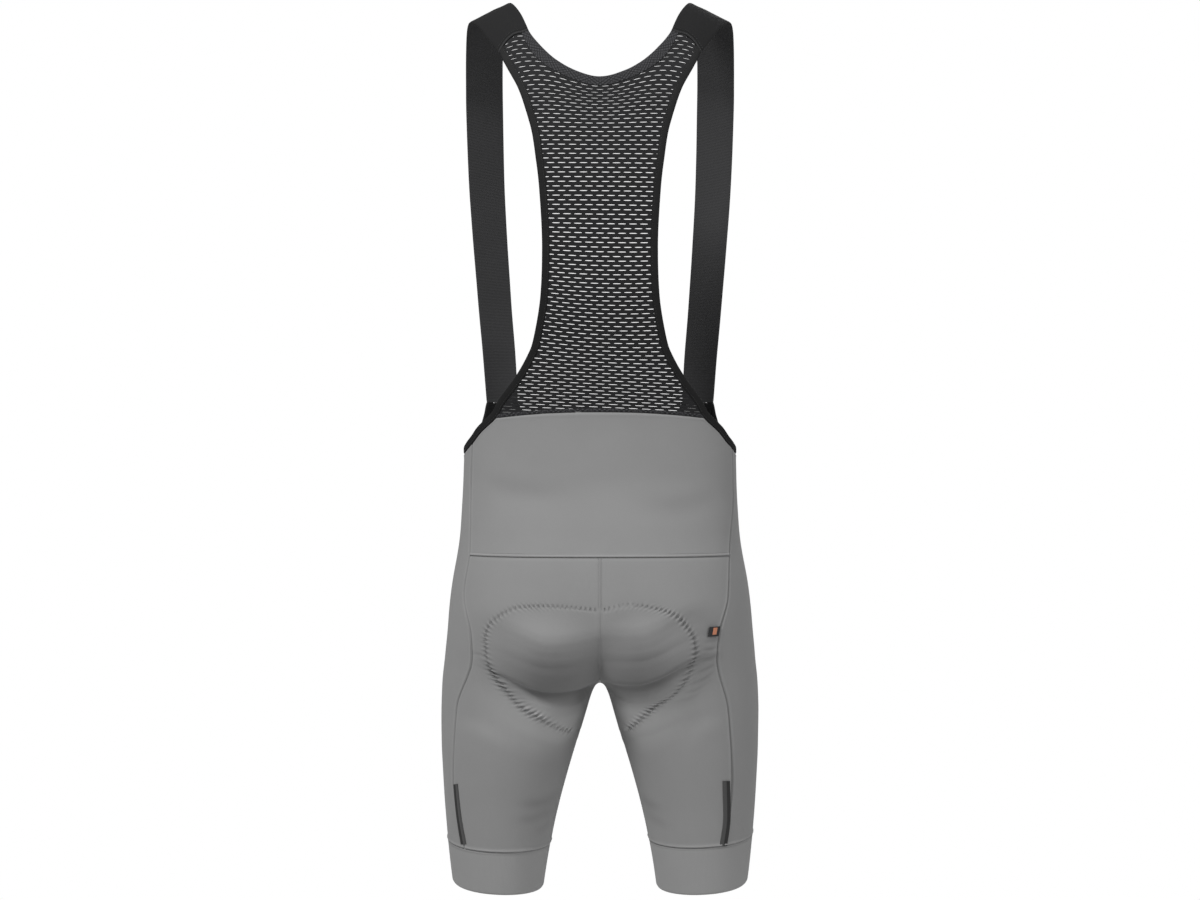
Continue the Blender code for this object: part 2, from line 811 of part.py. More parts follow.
def add_strap(side, name):
    """One shoulder strap of wide elastic, sewn to the mesh behind and the panel in front."""
    outer = [(row.outer_x * side, row.outer_y, -row.outer_drop) for row in STRAP]
    inner = [(row.inner_x * side, row.inner_y, -row.inner_drop) for row in STRAP]
    crowded = np.linspace(0, 1, STRAP_ROWS + 1)
    crowded = crowded + STRAP_CROWDING * np.sin(2 * np.pi * crowded) * (crowded - 1)
    outer = spline(outer, STRAP_ROWS, crowded)
    inner = spline(inner, STRAP_ROWS, crowded)
    across = np.linspace(0, 1, STRAP_ACROSS + 1)[None, :, None]
    points = outer[:, None] * (1 - across) + inner[:, None] * across
    head = place(strap_seam(side, "back"))
    foot = place(strap_seam(side, "front"))
    fade = np.clip(1 - np.arange(STRAP_ROWS + 1) / STRAP_FADE_ROWS, 0, 1)[:, None, None]
    points = points + fade * (head - points[0])
    points = points + fade[::-1] * (foot - points[-1])
    along = np.gradient(points, axis=0)
    aside = np.gradient(points, axis=1)
    normals = side * np.cross(aside, along)
    normals = normals / np.linalg.norm(normals, axis=-1, keepdims=True)
    normals[0] = outward(points[:1])[0]
    normals[-1] = outward(points[-1:])[0]
    return add_cloth(name, [points], "black_elastic", 0.0, ELASTIC, normals)


# ---------------------------------------------------------------- the legs

def level_seam(inner, outer, share):
    """A nearly level seam round a leg that is higher at the outer side."""
    return inner + (outer - inner) * (1 - np.cos(2 * np.pi * share)) / 2


def leg_drop(side, row, share):
    """Drop of a row of the leg, with rows crowded at the inseam where the legs part."""
    share = np.abs(share)
    foot = level_seam(GRIPPER_SEAM_INNER[side], GRIPPER_SEAM_OUTER[side], share)
    if row <= CROTCH_ROW:
        left = (CROTCH_ROW - row) / CROTCH_ROW
        even = CROTCH - (CROTCH - YOKE_SEAM) * left
        close = CROTCH - (CROTCH - YOKE_SEAM) * left ** 2
    else:
        gone = (row - CROTCH_ROW) / (LEG_ROWS - CROTCH_ROW)
        even = CROTCH + (foot - CROTCH) * gone
        close = CROTCH + (foot - CROTCH) * gone ** 2
    reach = np.clip(1 - np.minimum(share, 1 - share) / INSEAM_REACH, 0, 1)
    weight = reach * reach * (3 - 2 * reach)
    return even + (close - even) * weight


def leg_spots(side, start_of, end_of, columns):
    """Rows of spots down a leg between two upright seams, the lowest row first."""
    rows = []
    for row in range(LEG_ROWS, -1, -1):
        drop = np.full(columns + 1, YOKE_SEAM + row * 16.0)
        t = np.linspace(0, 1, columns + 1)
        for _ in range(6):
            share = start_of(drop) * (1 - t) + end_of(drop) * t
            drop = leg_drop(side, row, share)
        rows.append(np.stack((side * share, drop), axis=-1))
    return np.array(rows)


def seam_share(side):
    """The side seam's share as a function of drop."""
    return lambda drop: np.abs(side_seam(side, drop)[:, 0])


def add_seat(side, name):
    """The seat and the back of one leg, from the yoke to the gripper."""
    spots = leg_spots(side, lambda drop: 0 * drop, seam_share(side), SEAT_COLUMNS)
    return add_cloth(name, [place(spots)], "grey_knit", 0.0, KNIT)


def add_side(side, name, parts):
    """The side panel, from the armhole to the gripper."""
    lower = leg_spots(side, seam_share(side), lambda d: 0 * d + FRONT_SEAM_SHARE, SIDE_COLUMNS)
    back_edge = waist_edge(side, side_seam, parts["side"][0])
    front_edge = waist_edge(side, front_seam, parts["side"][-1])
    upper = coons(lower[-1], parts["side"], back_edge, front_edge)
    grid = place(np.vstack((lower, upper[1:])))
    return add_cloth(name, [grid], "grey_knit", 0.0, KNIT)


def add_front(side, name, parts):
    """The front panel, from the strap and the neckline down to the gripper."""
    columns = STRAP_ACROSS - 2 + FRONT_NECK_COLUMNS
    lower = leg_spots(side, lambda d: 0 * d + FRONT_SEAM_SHARE, lambda d: 0 * d + 1, columns)
    neck = front_neck(FRONT_NECK_SEAM)[:FRONT_NECK_COLUMNS + 1]
    neck[:, 0] = side * neck[:, 0]
    head = np.vstack((strap_seam(side, "front")[1:-1], neck[1:]))
    side_edge = waist_edge(side, front_seam, parts["front"][0])
    side_edge = np.vstack((side_edge, parts["front"][1:]))
    side_edge[-1] = head[0]
    drops = np.linspace(YOKE_SEAM, FRONT_NECK_SEAM[-1].drop, len(side_edge))
    middle_edge = np.stack((0 * drops + side, drops), axis=-1)
    upper = coons(lower[-1], head, side_edge, middle_edge)
    grid = place(np.vstack((lower, upper[1:])))
    return add_cloth(name, [grid], "grey_knit", 0.0, KNIT)


def add_gripper(side, name):
    """The wide elastic band round the foot of one leg."""
    foot_drop = np.array([GRIPPER_SEAM_INNER[side]])
    seam = seam_share(side)(foot_drop)[0]
    columns = STRAP_ACROSS - 2 + FRONT_NECK_COLUMNS
    shares = np.concatenate((
        np.linspace(0, seam, SEAT_COLUMNS + 1)[:-1],
        np.linspace(seam, FRONT_SEAM_SHARE, SIDE_COLUMNS + 1)[:-1],
        np.linspace(FRONT_SEAM_SHARE, 1, columns + 1),
    ))
    head = level_seam(GRIPPER_SEAM_INNER[side], GRIPPER_SEAM_OUTER[side], shares)
    foot = level_seam(HEM_INNER, HEM_OUTER, shares)
    t = np.linspace(0, 1, CUFF_ROWS + 1)[:, None]
    drops = foot * (1 - t) + head * t
    spots = np.stack((np.broadcast_to(side * shares, drops.shape), drops), axis=-1)
    return add_cloth(name, [place(spots)], "grey_gripper", 0.0, GRIPPER)


# ---------------------------------------------------------------- small pieces and the pad

def add_tape(side, name):
    """The tapered dark tape that lies over the foot of one side seam."""
    drops = np.linspace(TAPE_FOOT, TAPE_TOP, 7)
    middle = place(side_seam(side, drops))
    t = np.linspace(0, 1, 7)[:, None]
    half = (TAPE_FOOT_WIDTH * (1 - t) + TAPE_TOP_WIDTH * t) / 2
    along = np.gradient(middle, axis=0)
    square = np.cross(outward(middle), along)
    square = square / np.linalg.norm(square, axis=-1, keepdims=True)
    columns = [onto_form(middle + square * half * k) for k in (-1, 0, 1)]
    grid = np.stack(columns, axis=1)
    return add_cloth(name, [grid], "dark_tape", SEAM_GAP + TAPE_THICKNESS, -SEAM_GAP)


def add_tab():
    """The small folded label sewn into the right side seam."""
    drops = np.linspace(TAB_FOOT, TAB_TOP, 3)
    outs = np.linspace(TAB_INNER, TAB_OUTER, 3)
    grid = np.meshgrid(outs, drops)
    points = place(spot(grid[0], grid[1], "back", -1))
    lift = SEAM_GAP + TAB_THICKNESS
    return add_cloth("label_tab", [points], "label_black", lift, -SEAM_GAP)


def pad_quarter(side, face):
    """Spots of one quarter of the pad, its middle line first, and its edge shares."""
    name = "left" if side > 0 else "right"
    rows = np.arange(PAD_FIRST_ROW, CROTCH_ROW + PAD_LEG_ROWS + 1)
    drops = np.array([leg_drop(side, row, 0.0) for row in rows])
    drops[0] = PAD[0].drop
    drops[-1] = PAD[-1].drop
    out = section(PAD, name if face == "back" else "front", drops)
    edge = np.abs(spot(out, drops, face)[:, 0])
    middle = 0.0 if face == "back" else 1.0
    t = np.linspace(0, 1, PAD_COLUMNS + 1)
    shares = middle + (edge[:, None] - middle) * t
    across = np.broadcast_to(t, shares.shape)
    down = np.broadcast_to(drops[:, None], shares.shape)
    return np.stack((side * shares, down), axis=-1), across


def add_pad():
    """The seat pad inside the shorts: one cushion across the seat and between the legs."""
    grids = []
    swells = []
    for side in (1, -1):
        for face in ("back", "front"):
            spots, across = pad_quarter(side, face)
            down = np.linspace(0, 1, len(spots))[:, None]
            ends = np.clip(np.minimum(down, 1 - down) * PAD_END_SLOPE, 0, 1)
            swells.append(np.clip((1 - across) * PAD_SIDE_SLOPE, 0, 1) * ends)
            grids.append(place(spots))
    points = np.vstack([grid.reshape(-1, 3) for grid in grids])
    swell = np.concatenate([block.reshape(-1) for block in swells])
    away = np.linalg.norm(points - np.array((0.0, 0.0, -CROTCH)), axis=1)
    close = np.clip(1 - away / PAD_CROTCH_REACH, 0, 1)
    behind = KNIT + PAD_GAP + (PAD_CROTCH_GAP - PAD_GAP) * close
    thickness = PAD_EDGE + (PAD_MIDDLE - PAD_EDGE) * swell
    return add_cloth("seat_pad", grids, "pad_foam", -behind, behind + thickness)


# ---------------------------------------------------------------- the whole garment

def clear_scene():
    """Removes whatever the file held."""
    for item in list(bpy.data.objects):
        bpy.data.objects.remove(item, do_unlink=True)


def main():
    """Builds every piece of the shorts."""
    clear_scene()
    parts = {side: armhole_parts(side) for side in (1, -1)}
    add_mesh(parts)
    add_neck_hem()
    add_yoke(parts[1], parts[-1])
    add_front_binding()
    add_tab()
    add_pad()
    for side, word in ((1, "left"), (-1, "right")):
        add_armhole_binding(side, "armhole_binding_" + word, parts[side])
        add_strap(side, "strap_" + word)
        add_seat(side, "seat_" + word)
        add_side(side, "side_" + word, parts[side])
        add_front(side, "front_" + word, parts[side])
        add_gripper(side, "gripper_" + word)
        add_tape(side, "leg_tape_" + word)


main()
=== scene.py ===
"""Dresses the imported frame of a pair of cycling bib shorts, as worn, with cloth and sewing.

The pieces lie on one smooth form, the torso joined to two thighs.  A place on it is given
by its share of the way round one side (0 at the centre back or the inseam, 1 at the centre
front, minus on the wearer's right) and its drop from the shoulder line.  Sizes in the
tables are in millimetres; what the panel shows is in metres, as Blender has it.
"""

import json
from collections import namedtuple
from functools import cache

import bmesh
import bpy
import numpy as np
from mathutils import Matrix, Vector

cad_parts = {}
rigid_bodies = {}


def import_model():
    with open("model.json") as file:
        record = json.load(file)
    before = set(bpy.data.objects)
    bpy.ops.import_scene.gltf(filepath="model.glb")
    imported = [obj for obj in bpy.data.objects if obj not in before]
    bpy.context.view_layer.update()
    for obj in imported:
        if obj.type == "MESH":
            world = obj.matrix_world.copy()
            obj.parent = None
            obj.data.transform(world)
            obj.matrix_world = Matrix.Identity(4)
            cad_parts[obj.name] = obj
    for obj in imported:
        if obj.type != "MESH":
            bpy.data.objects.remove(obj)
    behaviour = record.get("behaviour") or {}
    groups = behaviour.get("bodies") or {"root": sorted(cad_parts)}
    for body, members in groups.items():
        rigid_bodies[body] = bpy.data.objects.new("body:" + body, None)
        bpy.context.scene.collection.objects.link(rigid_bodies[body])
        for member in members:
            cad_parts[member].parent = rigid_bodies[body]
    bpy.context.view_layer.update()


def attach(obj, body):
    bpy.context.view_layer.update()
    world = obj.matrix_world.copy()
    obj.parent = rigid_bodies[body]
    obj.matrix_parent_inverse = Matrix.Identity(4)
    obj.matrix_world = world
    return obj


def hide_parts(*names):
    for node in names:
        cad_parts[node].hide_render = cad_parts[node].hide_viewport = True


bl_info = {
    "name": "Cycling bib shorts",
    "version": (1, 0, 0),
    "blender": (4, 5, 0),
    "location": "3D View > Sidebar > Bib shorts",
    "description": "Cloth, sewing and studio for a pair of cycling bib shorts",
    "category": "Object",
}

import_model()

MM = 0.001
TURN = 2 * np.pi
SIDES = ((1, "left"), (-1, "right"))

# ---- the cut, in millimetres

def table(columns, *rows):
    """A table with named columns, as a list of its rows."""
    row_type = namedtuple("Row", columns)
    return [row_type(*row) for row in rows]


KNIT = 1.5
NET = 0.7
ELASTIC = 1.6
GRIPPER = 1.8
BINDING_WIDTH = 8.0

MESH_SEAM = 443.3
MESH_SEAM_SAG = 6.0
YOKE_SEAM = 594.0
HEM_INNER = 953.5
HEM_OUTER = 943.5
GRIPPER_SEAM_INNER = {1: 906.5, -1: 902.5}
GRIPPER_SEAM_OUTER = {1: 898.5, -1: 892.5}

TORSO = table(
    "drop half_width back front",
    (0, 165, 4, 4), (20, 165, 30, 40), (40, 165, 49, 62), (65, 165, 68, 84), (95, 165, 89, 100),
    (130, 165, 101, 110), (200, 165, 110, 118), (300, 158, 104, 118), (400, 149, 86, 114),
    (455, 146, 80, 110), (510, 147, 83, 109), (570, 150, 99, 109), (610, 152, 110, 107),
    (650, 154, 116, 106), (690, 150, 117, 106), (720, 146, 112, 100),
)
TORSO_FOOT = 709.0
TORSO_POWER = 2.4

THIGH = table(
    "drop inner outer back front",
    (560, -20, 118, 60, 60), (620, -20, 148, 88, 88), (660, -16, 157, 97, 94),
    (700, -3.5, 166, 95, 93), (735, 7.5, 170, 91, 91), (765, 16, 171, 88, 89),
    (797, 25.5, 170.5, 85, 86), (829, 35, 169, 80, 82), (861, 43.7, 167.2, 74, 78),
    (893, 51, 164.7, 69, 73), (926, 57, 161.4, 64, 68), (960, 62, 157, 60, 64),
)
THIGH_POWER = 2.1

SWELL_X = 52.0
SWELL_Y = 60.0
SWELL_DROP = 691.0
SWELL_RADII = (62.0, 65.0, 47.0)

LEGS_BLEND = 28.0
TORSO_BLEND = 30.0
FOOT_BLEND = 64.0
SWELL_BLEND = 14.0
REACH = 230.0
SHARE_LENGTH = 500.0
SPOT_SCALE = np.array((SHARE_LENGTH, 1.0))

SIDE_SEAM = table(
    "drop left right",
    (470, 136, 141.0), (530, 137, 142.0), (585, 137, 137.0), (635, 143, 134.5), (677, 135, 124.0),
    (700, 134, 122.0), (755, 151, 134.5), (830, 155, 139.0), (905, 143, 128.5),
)
FRONT_SEAM_SHARE = 0.625

ARMHOLE = table(
    "drop out face",
    (56.3, 100.9, "back"), (97, 80.8, "back"), (141, 65.8, "back"), (184, 58.3, "back"),
    (225, 54.2, "back"), (276, 52.2, "back"), (327, 54.4, "back"), (369, 61.9, "back"),
    (389, 69.4, "back"), (412, 83.2, "back"), (434, 100.3, "back"), (449, 109.5, "back"),
    (464, 126.0, "back"), (478, 138.0, "back"), (487, 146.0, "side"), (481, 139.0, "front"),
    (462, 129.0, "front"), (430, 119.4, "front"),
)
MESH_CORNER_ROW = 11

BACK_NECK_EDGE = table("drop out", (38.4, 75.4), (56.4, 62.7), (74.5, 45.0), (87.5, 24.0), (94.0, 0.0))
BACK_NECK_SEAM = table("drop out", (42.1, 82.5), (66.0, 70.5), (84.3, 51.7), (98.4, 25.5), (104.5, 0.0))
FRONT_NECK_EDGE = table("drop out", (430, 92.6), (455, 78.0), (479, 55.0), (495, 28.0), (500, 0.0))
FRONT_NECK_SEAM = table("drop out", (430, 99.3), (460, 85.0), (486, 59.0), (503, 30.0), (508, 0.0))

STRAP = table(
    "outer_x outer_y outer_drop inner_x inner_y inner_drop",
    (106.0, 56, 64.1, 75.4, 44, 38.4), (119.0, 37, 46.0, 84.0, 27, 18.0),
    (131.0, 17, 28.0, 93.0, 11, 4.0), (139.9, 0, 20.8, 98.8, -3, 0.0),
    (144.5, -17, 25.0, 103.0, -22, 5.0), (147.0, -38, 43.0, 106.5, -46, 26.0),
    (148.5, -60, 75.0, 108.5, -71, 62.0), (149.0, -78, 115.0, 109.0, -93, 108.0),
    (146.0, -90, 200.0, 107.5, -108, 200.0), (137.0, -89, 313.0, 101.0, -112, 313.0),
    (130.5, -78, 380.0, 95.5, -104, 380.0), (126.1, -68, 430.0, 92.6, -94, 430.0),
)
STRAP_SEAM_ARCH = (0.0, 3.8, 6.3, 6.6, 2.7, 0.0)
ARCH_OUT = 0.5
ARCH_UP = 0.8

# The pad's outline as it is sewn on, from the centre back round to the inseam, and on
# in front from the inseam up to the centre.
PAD_LEFT = (
    (3, 648.5), (28, 646), (53, 644.7), (72, 645), (88, 647), (102, 654), (114, 664.5),
    (118.5, 676), (119, 687), (117, 701), (110, 717), (98, 732), (82, 749), (66, 760), (45, 773),
    (31, 779),
)
PAD_RIGHT = (
    (-3, 648.5), (-28, 643.5), (-57, 647), (-78, 654), (-88, 663), (-97, 675), (-98.6, 686),
    (-96.6, 698), (-91.5, 710), (-82, 724), (-71, 736), (-58, 749), (-43, 765), (-31, 777),
)
PAD_FRONT = (
    (31, 779), (38, 757), (46, 731), (48, 705), (46, 684), (40, 665), (32, 652), (18, 645),
    (0, 643),
)

# Rows of eyelets: the drop at the centre, how far the row arches up towards the arms and
# where, its lean to the wearer's right, its sag, and the width of one eyelet's cell.
MESH_ROWS = table(
    "row drop arch apex lean sag pitch",
    (-14, 94.0, 77.0, 88.5, 0.0, 0.0, 10.5), (-10, 90.7, 52.0, 84.8, 0.0, 0.0, 10.5),
    (-8, 89.6, 40.0, 82.4, 0.0, 0.0, 10.6), (-6, 88.4, 28.9, 80.1, 0.0, 0.0, 10.6),
    (-4, 89.7, 20.0, 76.7, 0.0, 0.0, 10.7), (-2, 96.2, 15.8, 71.1, 0.0, 0.0, 10.9),
    (0, 105.0, 13.4, 66.7, 0.0, 0.0, 11.0), (3, 115.1, 7.9, 66.7, 0.0, 0.0, 11.1),
    (5, 121.6, 5.7, 66.7, 0.0, 0.0, 11.1), (9, 136.6, 2.7, 66.7, 0.0, 0.0, 11.2),
    (15, 163.1, 0.8, 66.7, 0.004, 0.0, 11.35), (25, 210.9, 0.0, 66.7, 0.009, 0.0, 11.35),
    (45, 306.3, 0.0, 66.7, 0.028, 0.00068, 11.55), (55, 350.3, 0.0, 66.7, 0.042, 0.00085, 12.1),
    (61, 375.9, 0.0, 66.7, 0.0455, 0.0006, 12.7), (69, 407.0, 0.0, 66.7, 0.048, 0.0001, 13.3),
    (77, 435.0, 0.0, 66.7, 0.045, 0.0, 13.8), (83, 453.7, 0.0, 66.7, 0.042, 0.0, 14.2),
)
MESH_COLUMNS = 23
# How far the mesh runs on under its edges, how deep it lies under the form, and how much
# thinner each side of it is at an eyelet's rim.
MESH_TUCK = 5.0
NET_DEPTH = 0.35
RIM_SINK = 0.12

# How much lower a leg's level seams lie behind than at the sides.
HEM_TILT = 3.4

# The fold under the padded seat, from the wearer's right to the left: how far down it
# lies, and how strongly the profile below shows above it and under it.
FOLD = table(
    "out drop over under",
    (-132, 698, 0.0, 0.0), (-112, 698, 0.3, 0.05), (-97, 701, 0.55, 0.3), (-82, 707, 0.8, 0.7),
    (-57, 720, 1.15, 1.15), (-41, 725, 1.2, 1.2), (-23, 726, 0.95, 0.8), (-8, 726, 0.75, 0.15),
    (8, 729, 0.75, 0.15), (25, 732, 0.9, 0.8), (45, 734, 1.1, 1.1), (58, 733, 1.1, 1.05),
    (81, 725, 0.75, 0.5), (102, 716, 0.45, 0.15), (116, 711, 0.2, 0.0), (134, 705, 0.0, 0.0),
)
# Down across the fold, from above it: the rise of the cloth, and dark, the painted shade that darkens
# its tone over the pad's underside and into the fold; minus values paint it lighter below the fold.
FOLD_PROFILE = table(
    "below rise dark",
    (-75, 0.0, 0.0), (-62, 0.0, 0.05), (-54, -1.0, 0.25), (-45, -3.5, 0.75), (-35, -5.0, 1.2),
    (-25, -5.0, 1.65), (-15, -2.0, 1.85), (-9, 0.5, 1.8), (-4, 2.3, 1.8), (-1, 1.5, 1.8),
    (3, 0.0, 1.4), (6, 3.0, 0.5), (10, 6.2, 0.0), (16, 8.2, -0.6), (23, 8.0, -1.2),
    (32, 6.2, -1.9), (46, 2.8, -2.0), (62, 0.0, -0.8), (80, 0.0, 0.0),
)

# Puckers beside the pad's seam, from the middle of its top edge round to its foot: waves
# a millimetre along and across the seam, their strength, and how far they reach.
PUCKERS = table(
    "share rate slant strength reach",
    (0.0, 0.20, 0.12, 0.4, 3.2), (0.12, 0.19, 0.15, 0.55, 3.4), (0.25, 0.19, 0.22, 0.85, 3.8),
    (0.36, 0.21, 0.0, 0.95, 3.4), (0.50, 0.21, -0.06, 1.05, 3.8), (0.62, 0.17, -0.18, 1.25, 4.6),
    (0.82, 0.19, -0.10, 1.5, 4.4), (1.0, 0.21, 0.0, 1.7, 4.2),
)

# Creases as arcs between two places on one face: sag is how far the arc's middle hangs
# down, and a minus depth is a trough.
CREASE = "out_a drop_a out_b drop_b sag width depth"
BACK_CREASES = table(
    CREASE,
    # Pulls across the pad's edge, left and right.
    (135, 694, 121, 696, 1, 2.6, -0.37), (126, 702, 107, 709, 1, 2.4, -0.49),
    (119, 709, 96, 719, 2, 2.4, -0.62), (114, 717, 87, 729, 2, 2.4, -0.67),
    (107, 726, 80, 736, 2, 2.4, -0.57), (100, 733, 73, 741, 2, 2.6, -0.49),
    (92, 741, 72, 747, 1, 2.6, -0.37), (-121, 680, -107, 682, 1, 2.6, -0.33),
    (-122, 688, -107, 690, 1, 2.4, -0.49), (-122, 696, -103, 701, 1, 2.4, -0.62),
    (-120, 706, -99, 713, 1, 2.4, -0.67), (-117, 715, -93, 724, 2, 2.4, -0.67),
    (-111, 725, -86, 734, 2, 2.4, -0.54), (-104, 735, -78, 743, 2, 2.6, -0.41),
    # Soft hollows at the inner thighs and the backs of the legs.
    (82, 856, 44, 850, 2, 8.0, -0.8), (86, 873, 47, 864, 2, 7.0, -0.7),
    (70, 886, 52, 879, 1, 6.0, -0.5), (-42, 855, -64, 862, 1, 7.0, -0.8),
    (-48, 869, -70, 879, 1, 6.0, -0.6), (150, 770, 96, 790, -4, 12.0, 0.5),
    (-128, 765, -92, 786, -4, 12.0, 0.5),
    # The waist above the yoke's seam.
    (120, 516, 30, 524, 5, 13.0, -0.5), (-126, 530, -50, 541, 4, 14.0, -0.5),
)
FRONT_CREASES = table(
    CREASE,
    # Whiskers and folds in front, where the thighs meet the body.
    (20, 716, 88, 678, 5, 8.0, -1.6), (-18, 720, -92, 684, 5, 8.0, -1.6),
    (26, 736, 102, 706, 5, 9.0, -1.3), (-24, 733, -98, 708, 4, 9.0, -1.3),
    (34, 757, 96, 742, 4, 8.0, -0.8), (-32, 761, -88, 748, 3, 8.0, -0.8),
    (12, 700, 60, 652, 4, 9.0, -0.7), (-14, 696, -66, 656, 4, 9.0, -0.7),
    (84, 600, 8, 612, 6, 14.0, -0.7), (-76, 634, -6, 640, 5, 14.0, -0.6),
    (60, 880, 118, 872, 3, 9.0, -0.6), (-64, 872, -116, 880, 3, 9.0, -0.6),
)

# The label and the tapes on the side seams.
TAB_TOP = 667.6
TAB_FOOT = 677.6
TAB_INNER = 112.5
TAB_OUTER = 123.8
TAPE_TOPS = {"left": 835.0, "right": 829.0}
TAPE_FOOT = 899.0
TAPE_TOP_WIDTH = 8.6
TAPE_FOOT_WIDTH = 8.8
TAPE_LINE = table("drop left right", (828, 153.0, 132.2), (868, 149.2, 133.3), (900, 143.8, 129.6))

# Rows of the legs: the row where the legs part, the last one, how near the inseam, in
# shares, they crowd towards the crotch, the first guess of a row's height, and the rows
# between which the pad lies.
CROTCH_ROW = 10
LEG_ROWS = 19
INSEAM_REACH = 0.24
ROW_DROP = 16.0
PAD_ROWS = (2.2, 14.2)

# Shares of an edge at which one seam ends on it and the next begins.
STRAP_COLUMNS_SHARE = 3 / 11
WAIST_SHARE_FRONT = 5 / 9
WAIST_SHARE_BACK = 5 / 8

# How finely each piece is divided.
SEAT_COLUMNS = 150
SEAT_ROWS = 222
SIDE_COLUMNS = 48
PANEL_ROWS = 150
WAIST_ROWS = 48
FRONT_COLUMNS = 84
FRONT_ROWS = 160
UPPER_FRONT_ROWS = 60
YOKE_COLUMNS = 130
YOKE_ROWS = 66
BAND_COLUMNS = 180
BAND_ROWS = 26
ARMHOLE_STEPS = 240
NECK_STEPS = 110
STRAP_STEPS = 240
STRAP_FADE = 5 / 24

# The sewing: how far its rows lie from their seams and above the cloth, how far the
# trimmed edges of the seams reach out and lie below, the drops of the straps' tacks with
# their width and pitch in metres, and where the centre seams start below their tops.
TWIN_GAP = 1.7
EDGE_GAP = 1.75
THREAD_LIFT = 0.12
ALLOWANCE = 3.2
ALLOWANCE_DEPTH = 1.62
STRAP_TACKS = (433.5, 437.5)
TACK_WIDTH = 0.0028
TACK_PITCH = 0.0016
CENTRE_GAP = 2.0

# The studio, in metres.
FLOOR = -1.45
FLOOR_HALF = 3.0
FLOOR_REACH = 2.6
FLOOR_FADE = 0.8
SKY = 0.28
CAMERA = (0.0, 2.4, -0.483)
CAMERA_LENS = 66.67
AIM = (0.0, 0.0, -0.5)
LIGHTS = table(
    "name place size power",
    ("key", (1.6, 2.0, 2.1), 1.2, 98.0), ("fill", (-2.1, 1.5, 0.8), 1.6, 24.0),
    ("top", (0.0, -0.4, 2.0), 1.6, 8.0), ("front", (-0.6, -2.4, 1.2), 1.6, 25.0),
)


# ---- curves and sections

def column(rows, name):
    """One named column of a table, as an array."""
    return np.array([getattr(row, name) for row in rows], float)


def eased(t):
    """Shares from 0 to 1 with a soft start and a soft end."""
    return t * t * (3 - 2 * t)


def pairs(first, second):
    """Two values of each place, side by side, as spots and UVs have them."""
    return np.stack(np.broadcast_arrays(first, second), axis=-1)


def unit(vectors):
    """Vectors brought to a length of 1."""
    return vectors / np.linalg.norm(vectors, axis=-1, keepdims=True)


def smooth(stops, values, wanted):
    """A smooth curve through values at rising stops, which never overshoots them."""
    step = np.diff(stops)
    slope = np.diff(values) / step
    rate = np.empty_like(values)
    rate[0] = slope[0]
    rate[-1] = slope[-1]
    for i in range(1, len(values) - 1):
        if slope[i - 1] * slope[i] <= 0:
            rate[i] = 0.0
        else:
            before = 2 * step[i] + step[i - 1]
            after = step[i] + 2 * step[i - 1]
            rate[i] = (before + after) / (before / slope[i - 1] + after / slope[i])
    wanted = np.clip(wanted, stops[0], stops[-1])
    i = np.clip(np.searchsorted(stops, wanted) - 1, 0, len(stops) - 2)
    t = (wanted - stops[i]) / step[i]
    rise = t * (1 - t) ** 2 * rate[i] - t * t * (1 - t) * rate[i + 1]
    return values[i] * (1 - eased(t)) + values[i + 1] * eased(t) + rise * step[i]


def section(rows, name, at, stop="drop"):
    """A table's named value at any drop, or at any place along another column."""
    return smooth(column(rows, stop), column(rows, name), np.asarray(at, float))


def sections(rows, at, *names, stop="drop"):
    """Several of a table's values at the same places."""
    return [section(rows, name, at, stop) for name in names]


def resample(line, shares):
    """A line sampled at shares of its length, or at that many equal steps."""
    line = np.asarray(line, float)
    if np.isscalar(shares):
        shares = np.linspace(0, 1, shares + 1)
    steps = np.linalg.norm(np.diff(line, axis=0), axis=1)
    length = np.concatenate(([0.0], np.cumsum(steps)))
    places = [np.interp(shares * length[-1], length, line[:, k]) for k in range(line.shape[1])]
    return np.stack(places, axis=1)


def spline(points, shares):
    """A smooth line through points, sampled as resample does."""
    points = np.asarray(points, float)
    ends = np.vstack((2 * points[0] - points[1], points, 2 * points[-1] - points[-2]))
    fine = []
    for i in range(len(points) - 1):
        a, b, c, d = ends[i:i + 4]
        for t in np.linspace(0, 1, 24, endpoint=False):
            bend = (2 * a - 5 * b + 4 * c - d) * t * t + (3 * b - a - 3 * c + d) * t ** 3
            fine.append(b + 0.5 * ((c - a) * t + bend))
    return resample(np.array(fine + [points[-1]]), shares)


def along(line, share):
    """Places on a line at shares of its count of steps."""
    line = np.asarray(line, float)
    stops = np.linspace(0, 1, len(line))
    return np.stack([np.interp(share, stops, line[:, k]) for k in range(line.shape[1])], axis=-1)


def lengths(points):
    """Running length of a line of points from its start."""
    steps = np.linalg.norm(np.diff(points, axis=0), axis=-1)
    return np.concatenate((np.zeros_like(steps[:1]), np.cumsum(steps, axis=0)))


# ---- the worn form

def blend(a, b, reach):
    """The smaller of two distances, rounded where they come within reach of each other."""
    near = np.clip(1 - np.abs(a - b) / reach, 0, None)
    return np.minimum(a, b) - near * near * reach / 4


def tube(x, y, half_width, back, front, power):
    """Distance out from a level section that is rounder or squarer by its power."""
    depth = np.where(y > 0, back, front)
    ratio = (np.abs(x / half_width) ** power + np.abs(y / depth) ** power) ** (1 / power)
    return (ratio - 1) * (half_width + depth) / 2


